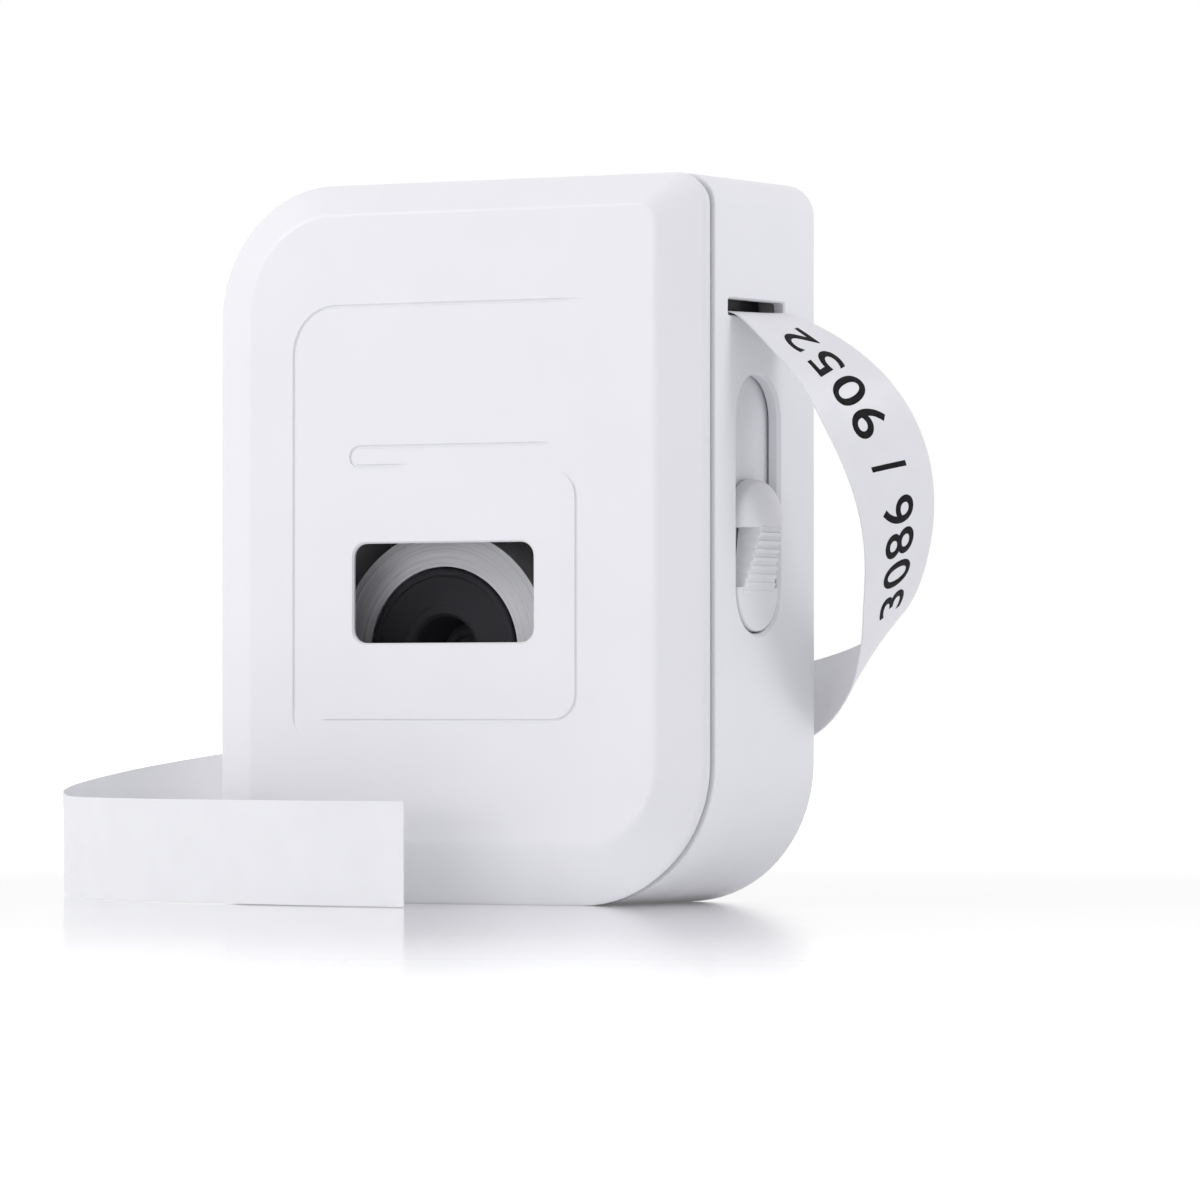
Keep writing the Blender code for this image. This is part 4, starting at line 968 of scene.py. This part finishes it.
TAPE_WIDTH = 15.0
STRIP_HALF_THICK = 0.1
STRIP_ROUTE = (
    ((38.0, -0.3, 85.2), (0.0, 1.0, 0.0)),
    ((41.8, -0.2, 85.1), (0.0, 1.0, 0.05)),
    ((48.0, 0.7, 80.9), (0.0, 1.0, 0.3)),
    ((52.6, 1.9, 76.5), (0.13, 0.92, 0.38)),
    ((55.6, 3.2, 72.1), (0.27, 0.86, 0.43)),
    ((57.9, 5.5, 66.6), (0.34, 0.81, 0.48)),
    ((58.6, 8.7, 60.4), (0.35, 0.81, 0.47)),
    ((57.5, 12.4, 53.6), (0.29, 0.87, 0.40)),
    ((54.6, 16.4, 46.2), (0.17, 0.93, 0.34)),
    ((51.0, 19.9, 39.8), (0.03, 0.90, 0.43)),
    ((45.8, 23.2, 34.6), (-0.11, 0.80, 0.58)),
    ((38.0, 26.6, 30.6), (-0.17, 0.64, 0.75)),
    ((26.0, 30.0, 27.4), (-0.12, 0.45, 0.88)),
    ((5.0, 32.8, 24.0), (-0.02, 0.26, 0.96)),
    ((-20.0, 34.2, 20.6), (0.05, 0.12, 0.99)),
    ((-45.0, 34.0, 17.4), (0.05, 0.07, 0.99)),
    ((-62.0, 32.6, 15.2), (0.08, 0.04, 0.99)),
    ((-75.0, 30.0, 13.2), (0.10, 0.0, 0.99)),
    ((-83.5, 25.0, 11.4), (0.10, -0.05, 0.99)),
    ((-87.0, 17.5, 9.8), (0.05, -0.08, 0.99)),
    ((-85.0, 9.0, 8.6), (0.0, -0.05, 1.0)),
    ((-79.0, 0.0, 7.8), (0.0, 0.0, 1.0)),
    ((-70.0, -10.0, 7.65), (0.0, 0.0, 1.0)),
    ((-58.0, -20.0, 7.65), (0.0, 0.0, 1.0)),
    ((-43.0, -28.5, 7.65), (0.0, 0.0, 1.0)),
    ((-27.0, -34.0, 7.65), (0.0, 0.0, 1.0)),
    ((-11.0, -37.3, 7.65), (0.0, 0.0, 1.0)),
    ((5.0, -39.0, 7.65), (0.0, 0.0, 1.0)),
)
STRIP_STEPS = 10


def spline_point(points, i, t):
    p0, p1 = points[max(i - 1, 0)], points[i]
    p2, p3 = points[i + 1], points[min(i + 2, len(points) - 1)]
    return (2 * p1 + (p2 - p0) * t + (2 * p0 - 5 * p1 + 4 * p2 - p3) * t * t
            + (3 * p1 - p0 - 3 * p2 + p3) * t * t * t) / 2


def strip_frames():
    """(distance, place, along, across, outward) at close steps down the strip."""
    places = [Vector(place) for place, _ in STRIP_ROUTE]
    acrosses = [Vector(across).normalized() for _, across in STRIP_ROUTE]
    rows = []
    for i in range(len(places) - 1):
        for k in range(STRIP_STEPS):
            t = k / STRIP_STEPS
            rows.append((spline_point(places, i, t), spline_point(acrosses, i, t)))
    rows.append((places[-1], acrosses[-1]))
    frames = []
    distance = 0.0
    for i, (place, across) in enumerate(rows):
        if i:
            distance += (place - rows[i - 1][0]).length
        along = (rows[min(i + 1, len(rows) - 1)][0] - rows[max(i - 1, 0)][0]).normalized()
        square = (across - along * across.dot(along)).normalized()
        frames.append((distance, place, along, square, along.cross(square)))
    return frames


FRAMES = strip_frames()


def on_strip(distance, offset, lift):
    """The point at a distance down the strip, an offset across it and a lift off its face."""
    low, high = 0, len(FRAMES) - 1
    while high - low > 1:
        middle = (low + high) // 2
        if FRAMES[middle][0] <= distance:
            low = middle
        else:
            high = middle
    a, b = FRAMES[low], FRAMES[high]
    share = (distance - a[0]) / (b[0] - a[0])
    place = a[1].lerp(b[1], share)
    across = a[3].lerp(b[3], share)
    outward = a[4].lerp(b[4], share)
    return place + across * offset + outward * lift


def label_strip():
    """The printed strip."""
    shape = bmesh.new()
    columns = 8
    loops = []
    for _, place, _, across, outward in FRAMES:
        front, back = [[place + across * TAPE_WIDTH * (k / columns - 0.5) + outward * lift
                        for k in range(columns + 1)] for lift in (STRIP_HALF_THICK, -STRIP_HALF_THICK)]
        loops.append([shape.verts.new(point * MM) for point in front + back[::-1]])
    skin(shape, loops)
    count = len(loops[0])
    for end in (loops[0], loops[-1]):
        for k in range(columns):
            shape.faces.new((end[k], end[k + 1], end[count - 2 - k], end[count - 1 - k]))
    mesh = mesh_of("label_strip", shape)
    strip = bpy.data.objects.new("label_strip_paper", mesh)
    SCENE.collection.objects.link(strip)
    mesh.materials.append(PAPER)
    smooth(mesh, 40.0)
    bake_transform(strip)
    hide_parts("label_strip")
    print_piece = printed_digits()


TEXT_START = 8.5
TEXT_END = 58.5
RANK_BASE = 10000


def rank(verts):
    """A number from the lowest three vertices, so that edges and faces are always stored in one order."""
    value = 0
    for index in sorted(vert.index for vert in verts)[:3]:
        value = value * RANK_BASE + index
    return value


def printed_digits():
    """Plain digits and a stroke, printed along the strip from the foot of its curl up to the slot."""
    curve = bpy.data.curves.new("digits", "FONT")
    curve.body = "3086 / 9052"
    curve.size = 8.6
    curve.space_character = 1.12
    curve.offset = 0.09
    curve.resolution_u = 10
    drawn = bpy.data.objects.new("digits", curve)
    SCENE.collection.objects.link(drawn)
    bpy.context.view_layer.update()
    flat = bpy.data.meshes.new_from_object(drawn.evaluated_get(bpy.context.evaluated_depsgraph_get()))
    bpy.data.objects.remove(drawn, do_unlink=True)
    shape = bmesh.new()
    shape.from_mesh(flat)
    bmesh.ops.remove_doubles(shape, verts=shape.verts, dist=0.0005)
    xs = [vert.co.x for vert in shape.verts]
    ys = [vert.co.y for vert in shape.verts]
    left, right, bottom, top = min(xs), max(xs), min(ys), max(ys)
    for k in range(1, int(right - left) + 1):
        geometry = shape.verts[:] + shape.edges[:] + shape.faces[:]
        bmesh.ops.bisect_plane(shape, geom=geometry, plane_co=(left + k, 0, 0), plane_no=(1, 0, 0))
    for k in range(1, 6):
        geometry = shape.verts[:] + shape.edges[:] + shape.faces[:]
        height = bottom + (top - bottom) * k / 6
        bmesh.ops.bisect_plane(shape, geom=geometry, plane_co=(0, height, 0), plane_no=(0, 1, 0))
    raised = bmesh.ops.extrude_face_region(shape, geom=shape.faces[:])
    for element in raised["geom"]:
        if isinstance(element, bmesh.types.BMVert):
            element.co.z = 1.0
    middle = (bottom + top) / 2
    scale = (TEXT_END - TEXT_START) / (right - left)
    for vert in shape.verts:
        lift = STRIP_HALF_THICK + 0.006 + 0.018 * vert.co.z
        x, y = (vert.co.x - left) * scale, vert.co.y - middle
        vert.co = on_strip(TEXT_END - x, -y, lift) * MM
    shape.verts.index_update()
    shape.edges.sort(key=lambda edge: rank(edge.verts))
    shape.faces.sort(key=lambda face: rank(face.verts))
    mesh = mesh_of("digits", shape)
    obj = bpy.data.objects.new("label_strip_digits", mesh)
    SCENE.collection.objects.link(obj)
    mesh.materials.append(INK)
    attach(obj, "root")
    return obj


def tape_roll():
    """The roll: a dark core with a stepped hub and rims, and a winding whose turns stand unevenly."""
    winding_low, winding_high = box_mm("tape_winding")
    core_low, core_high = box_mm("tape_core")
    outer = (winding_high.x - winding_low.x) / 2
    inner = (core_high.x - core_low.x) / 2 + GAP
    profile = []
    turns = 22
    for side in (-1, 1):
        rows = []
        for k in range(turns + 1):
            radius = inner + (outer - inner) * k / turns
            wobble = 0.05 * noise.noise(Vector((k * 1.7, side * 3.1, 0.4)))
            rows.append((radius, side * (TAPE_WIDTH / 2 - 0.05 + wobble)))
            if k < turns:
                rows.append((radius + (outer - inner) / turns * 0.9, side * (TAPE_WIDTH / 2 - 0.05 + wobble)))
        profile += rows if side < 0 else rows[::-1]
    winding = link_piece("tape_winding_turns", turned_mesh("winding", profile, ROLL, "Y", 120, True), WOUND,
                         "tape_winding")
    smooth(winding.data, 30.0)
    rim = (core_high.x - core_low.x) / 2
    half = (core_high.y - core_low.y) / 2
    bore = 5.3
    face = half - 0.5
    profile = [(bore, -half + 1.0), (bore + 0.5, -half + 0.4), (bore + 1.6, -half + 0.4),
               (bore + 1.8, -face), (rim - 1.2, -face), (rim - 1.0, -half), (rim - 0.2, -half),
               (rim, -half + 0.2), (rim, half - 0.2), (rim - 0.2, half), (rim - 1.0, half),
               (rim - 1.2, face), (bore + 1.8, face), (bore + 1.6, half - 0.4), (bore + 0.5, half - 0.4),
               (bore, half - 1.0)]
    core = link_piece("tape_core_ring", turned_mesh("core", profile, ROLL, "Y", 96, True), CORE, "tape_core")
    soften(core, 0.12, 25.0)
    smooth(core.data, 35.0)
    spindle = link_piece("roll_spindle_post", spindle_mesh(), CORE, "roll_spindle")
    soften(spindle, 0.2, 25.0)
    smooth(spindle.data, 35.0)


def spindle_mesh():
    back = PLATE_BACK_Y
    profile = ((0.0, back - 9.8), (2.4, back - 9.8), (2.6, back - 11.0), (3.4, back - 11.0),
               (4.2, back - 10.2), (4.2, back - 1.9), (2.0, back - 1.9), (2.0, back), (0.0, back))
    return turned_mesh("spindle", profile, ROLL, "Y", 64)


# ---------------------------------------------------------------- small visible pieces

def window_lens():
    low, high = box_mm("window_lens")
    edge = 0.15
    mesh = lofted("lens", "Y", ((low.y, window_outline(LENS_MARGIN - edge)),
                                (low.y + edge, window_outline(LENS_MARGIN)),
                                (high.y - edge, window_outline(LENS_MARGIN)),
                                (high.y, window_outline(LENS_MARGIN - edge))))
    lens = link_piece("window_lens_pane", mesh, CLEAR, "window_lens")
    smooth(lens.data, 25.0)


def power_button():
    low, high = box_mm("power_button")
    half = 1.6
    z_range = (BUTTON_Z - 4.6, BUTTON_Z + 4.6)
    face = low.x
    sections = [(face + 0.35 * (1 - sine), pill(CONTROL_Y, half, z_range, -0.45 * (1 - cosine), 14))
                for sine, cosine in reversed(quarter_turn(5))]
    sections.append((high.x, pill(CONTROL_Y, half, z_range, 0.0, 14)))
    mesh = lofted("button", "X", sections)
    button = link_piece("power_button_cap", mesh, GREY, "power_button")
    flange = (LEFT_X + WALL + GAP, LEFT_X + WALL + 0.9)
    ring = lofted("flange", "X", [(x, pill(CONTROL_Y, 2.3, (BUTTON_Z - 5.3, BUTTON_Z + 5.3), 0.0, 14))
                                  for x in flange])
    boolean(button, ring, "UNION")
    for step in (-1.6, 0.0, 1.6):
        bar = swept("bar", [Vector((face - 0.02, CONTROL_Y - 0.8, BUTTON_Z + step)),
                            Vector((face - 0.02, CONTROL_Y + 0.8, BUTTON_Z + step))], [0.22, 0.22], 10)
        boolean(button, bar)
    smooth(button.data, 30.0)


def usb_socket():
    """A drawn steel shell with a rolled mouth, and a dark tongue carrying brass contacts."""
    low, high = box_mm("usb_socket")
    z_range = (low.z, high.z)
    half = (high.y - low.y) / 2
    sections = [(x, pill(CONTROL_Y, half, z_range, grow, 12))
                for x, grow in ((low.x, -0.12), (low.x + 0.15, 0.0), (high.x - 0.2, 0.0), (high.x, -0.2))]
    shell = link_piece("usb_socket_shell", lofted("usb", "X", sections), STEEL, "usb_socket")
    mouth = [(x, pill(CONTROL_Y, half, z_range, grow, 12))
             for x, grow in ((low.x - 1.0, -0.2), (low.x, -0.22), (low.x + 0.2, -0.35), (low.x + 6.3, -0.35))]
    boolean(shell, lofted("mouth", "X", mouth))
    smooth(shell.data, 30.0)
    tongue = link_piece("usb_socket_tongue",
                        block((low.x + 0.9, CONTROL_Y - 0.35, USB_Z - 3.2), (low.x + 6.6, CONTROL_Y + 0.35,
                                                                            USB_Z + 3.2), 0.1),
                        CORE, "usb_socket", False)
    smooth(tongue.data)
    for side in (-1, 1):
        for k in range(6):
            z = USB_Z - 2.5 + k
            y = CONTROL_Y + side * 0.35
            contact = link_piece(f"usb_contact_{'front' if side < 0 else 'rear'}_{k}",
                                 block((low.x + 1.4, y - 0.03, z - 0.16), (low.x + 5.4, y + 0.03, z + 0.16)),
                                 BRASS, "usb_socket", False)


def light_pipe():
    low, high = box_mm("light_pipe")
    profile = [(0.0, low.x), (0.7, low.x + 0.06), (0.93, low.x + 0.22), (1.0, low.x + 0.5),
               (1.0, high.x - 0.2), (0.8, high.x), (0.0, high.x)]
    pipe = link_piece("light_pipe_rod", turned_mesh("pipe", profile, (0.0, CONTROL_Y, LIGHT_Z), "X", 32),
                      FROSTED, "light_pipe")
    smooth(pipe.data, 35.0)


# ---------------------------------------------------------------- the mechanism inside

def refined(node, look=None, width=0.1, replaced=True, angle=30.0):
    """The CAD piece again with its edges eased, for the pieces seen only with the cover open."""
    source = frame["nodes"][node]
    shape = bmesh.new()
    shape.from_mesh(source.data)
    bmesh.ops.remove_doubles(shape, verts=shape.verts, dist=0.000002)
    bmesh.ops.dissolve_limit(shape, angle_limit=math.radians(0.6), verts=shape.verts, edges=shape.edges)
    mesh = mesh_of(node, shape)
    piece = link_piece(f"{node}_piece", mesh, look or LOOKS[SLOTS[node]], node, replaced)
    if width:
        soften(piece, width, angle)
    smooth(piece.data, 34.0)
    return piece


RIB_X = (-36.0, -27.0)
RIBS_Z = (30.0, 48.0, 66.0)


def chassis_details():
    plate = refined("chassis_plate", INNER, 0.0)
    for z in RIBS_Z:
        rib = block((RIB_X[0], PLATE_FRONT_Y - 0.6, z - 0.4), (RIB_X[1], PLATE_FRONT_Y + 0.3, z + 0.4))
        boolean(plate, rib, "UNION")
    soften(plate, 0.08)
    smooth(plate.data, 34.0)


def screws():
    for index, (x, z) in enumerate(PLATE_SCREWS):
        node = f"chassis_screw_{index + 1}"
        low, _ = box_mm(node)
        top = low.y
        profile = [(0.0, top + 0.05), (0.9, top), (1.45, top + 0.25), (1.85, top + 0.75), (1.9, top + 1.1),
                   (1.0, top + 1.15)]
        thread = []
        y = top + 1.6
        while y < top + 6.3:
            thread += [(0.82, y), (1.0, y + 0.2), (0.82, y + 0.4)]
            y += 0.5
        profile += thread + [(0.4, top + 6.8), (0.0, top + 7.0)]
        piece = link_piece(f"{node}_turned", turned_mesh("screw", profile, (x, 0.0, z), "Y", 32), STEEL, node)
        for turn in (0, 1):
            wide, tall = ((1.0, 0.16), (0.16, 1.0))[turn]
            boolean(piece, block((x - wide, top - 0.5, z - tall), (x + wide, top + 0.7, z + tall)))
        smooth(piece.data, 34.0)


def coil_piece(node, middle, z_range, radius, wire, turns):
    """A compression spring with closed ends, in fine round wire."""
    low, high = z_range[0] + wire, z_range[1] - wire
    count = turns * 32
    path = []
    for i in range(count + 1):
        angle = 2 * math.pi * turns * i / count
        path.append(Vector((middle[0] + radius * math.cos(angle), middle[1] + radius * math.sin(angle),
                            low + (high - low) * i / count)))
    piece = link_piece(f"{node}_wire", swept("spring", path, [wire] * len(path), 10), STEEL, node)
    smooth(piece.data, 60.0)
    return piece


def springs():
    low, high = box_mm("cutter_return_spring")
    spring = coil_piece("cutter_return_spring", (34.3, 0.0), (low.z, high.z), 1.15, 0.2, 8)
    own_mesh(spring)
    low, high = box_mm("head_spring")
    coil_piece("head_spring", (26.0, 3.0), (low.z, high.z), 2.0, 0.25, 4)


def tape_web():
    refined("tape_web", PAPER, 0.0)


CHIP_ROOM_X = (-15.5, -2.5)
CHIP_ROOM_Z = (28.0, 42.0)


def board_details():
    """The board, its chip with legs, its shielded module, and small ceramic parts clear of the chip."""
    refined("main_board", BOARD, 0.05)
    refined("control_chip", CORE, 0.08)
    refined("wireless_module", STEEL, 0.12)
    low, high = box_mm("control_chip")
    board_low, _ = box_mm("main_board")
    face = board_low.y
    for k in range(10):
        z = low.z + 0.7 + (high.z - low.z - 1.4) * k / 9
        for side, x in ((-1, low.x), (1, high.x)):
            leg = link_piece(f"chip_leg_{'l' if side < 0 else 'r'}_{k}",
                             block((min(x, x + side * 0.7), face - 0.16, z - 0.14),
                                   (max(x, x + side * 0.7), face - 0.02, z + 0.14), 0.03),
                             STEEL, "main_board", False)
    for k in range(14):
        x = -33.0 + 9.3 * (k % 3) + 1.4 * noise.noise(Vector((k, 0.3, 0.2)))
        z = 15.0 + 7.5 * (k // 3) + 1.2 * noise.noise(Vector((0.7, k, 0.1)))
        if CHIP_ROOM_X[0] < x < CHIP_ROOM_X[1] and CHIP_ROOM_Z[0] < z < CHIP_ROOM_Z[1]:
            continue
        part = link_piece(f"board_part_{k}", block((x - 0.9, face - 0.65, z - 0.5), (x + 0.9, face - 0.02,
                                                                                    z + 0.5), 0.08),
                          CERAMIC, "main_board", False)
        smooth(part.data)


def inside_pieces():
    widths = {
        "hinge_pin_1": 0.12, "hinge_pin_2": 0.12, "guide_roller": 0.2, "motor_pinion": 0.06,
        "idler_gear": 0.06, "platen_gear": 0.06, "platen_roller": 0.2, "platen_shaft": 0.15,
        "platen_bush": 0.12, "stepper_motor": 0.0, "motor_shaft": 0.1, "idler_pin": 0.12,
        "print_head": 0.06, "heat_sink": 0.08, "head_bracket": 0.06, "blade_carriage": 0.15,
        "cutter_blade": 0.04, "blade_screw_1": 0.12, "blade_screw_2": 0.12, "fixed_blade": 0.04,
        "battery_cell": 0.0, "battery_plug": 0.12, "battery_lead": 0.0, "power_switch": 0.1,
    }
    for node, width in widths.items():
        refined(node, BLACK_STEEL if node == "fixed_blade" else None, width)


def main():
    camera()
    lights()
    floor()
    front_cover()
    rear_housing()
    cutter_slider()
    slider_track()
    label_strip()
    tape_roll()
    window_lens()
    power_button()
    usb_socket()
    light_pipe()
    chassis_details()
    screws()
    springs()
    tape_web()
    board_details()
    inside_pieces()


main()
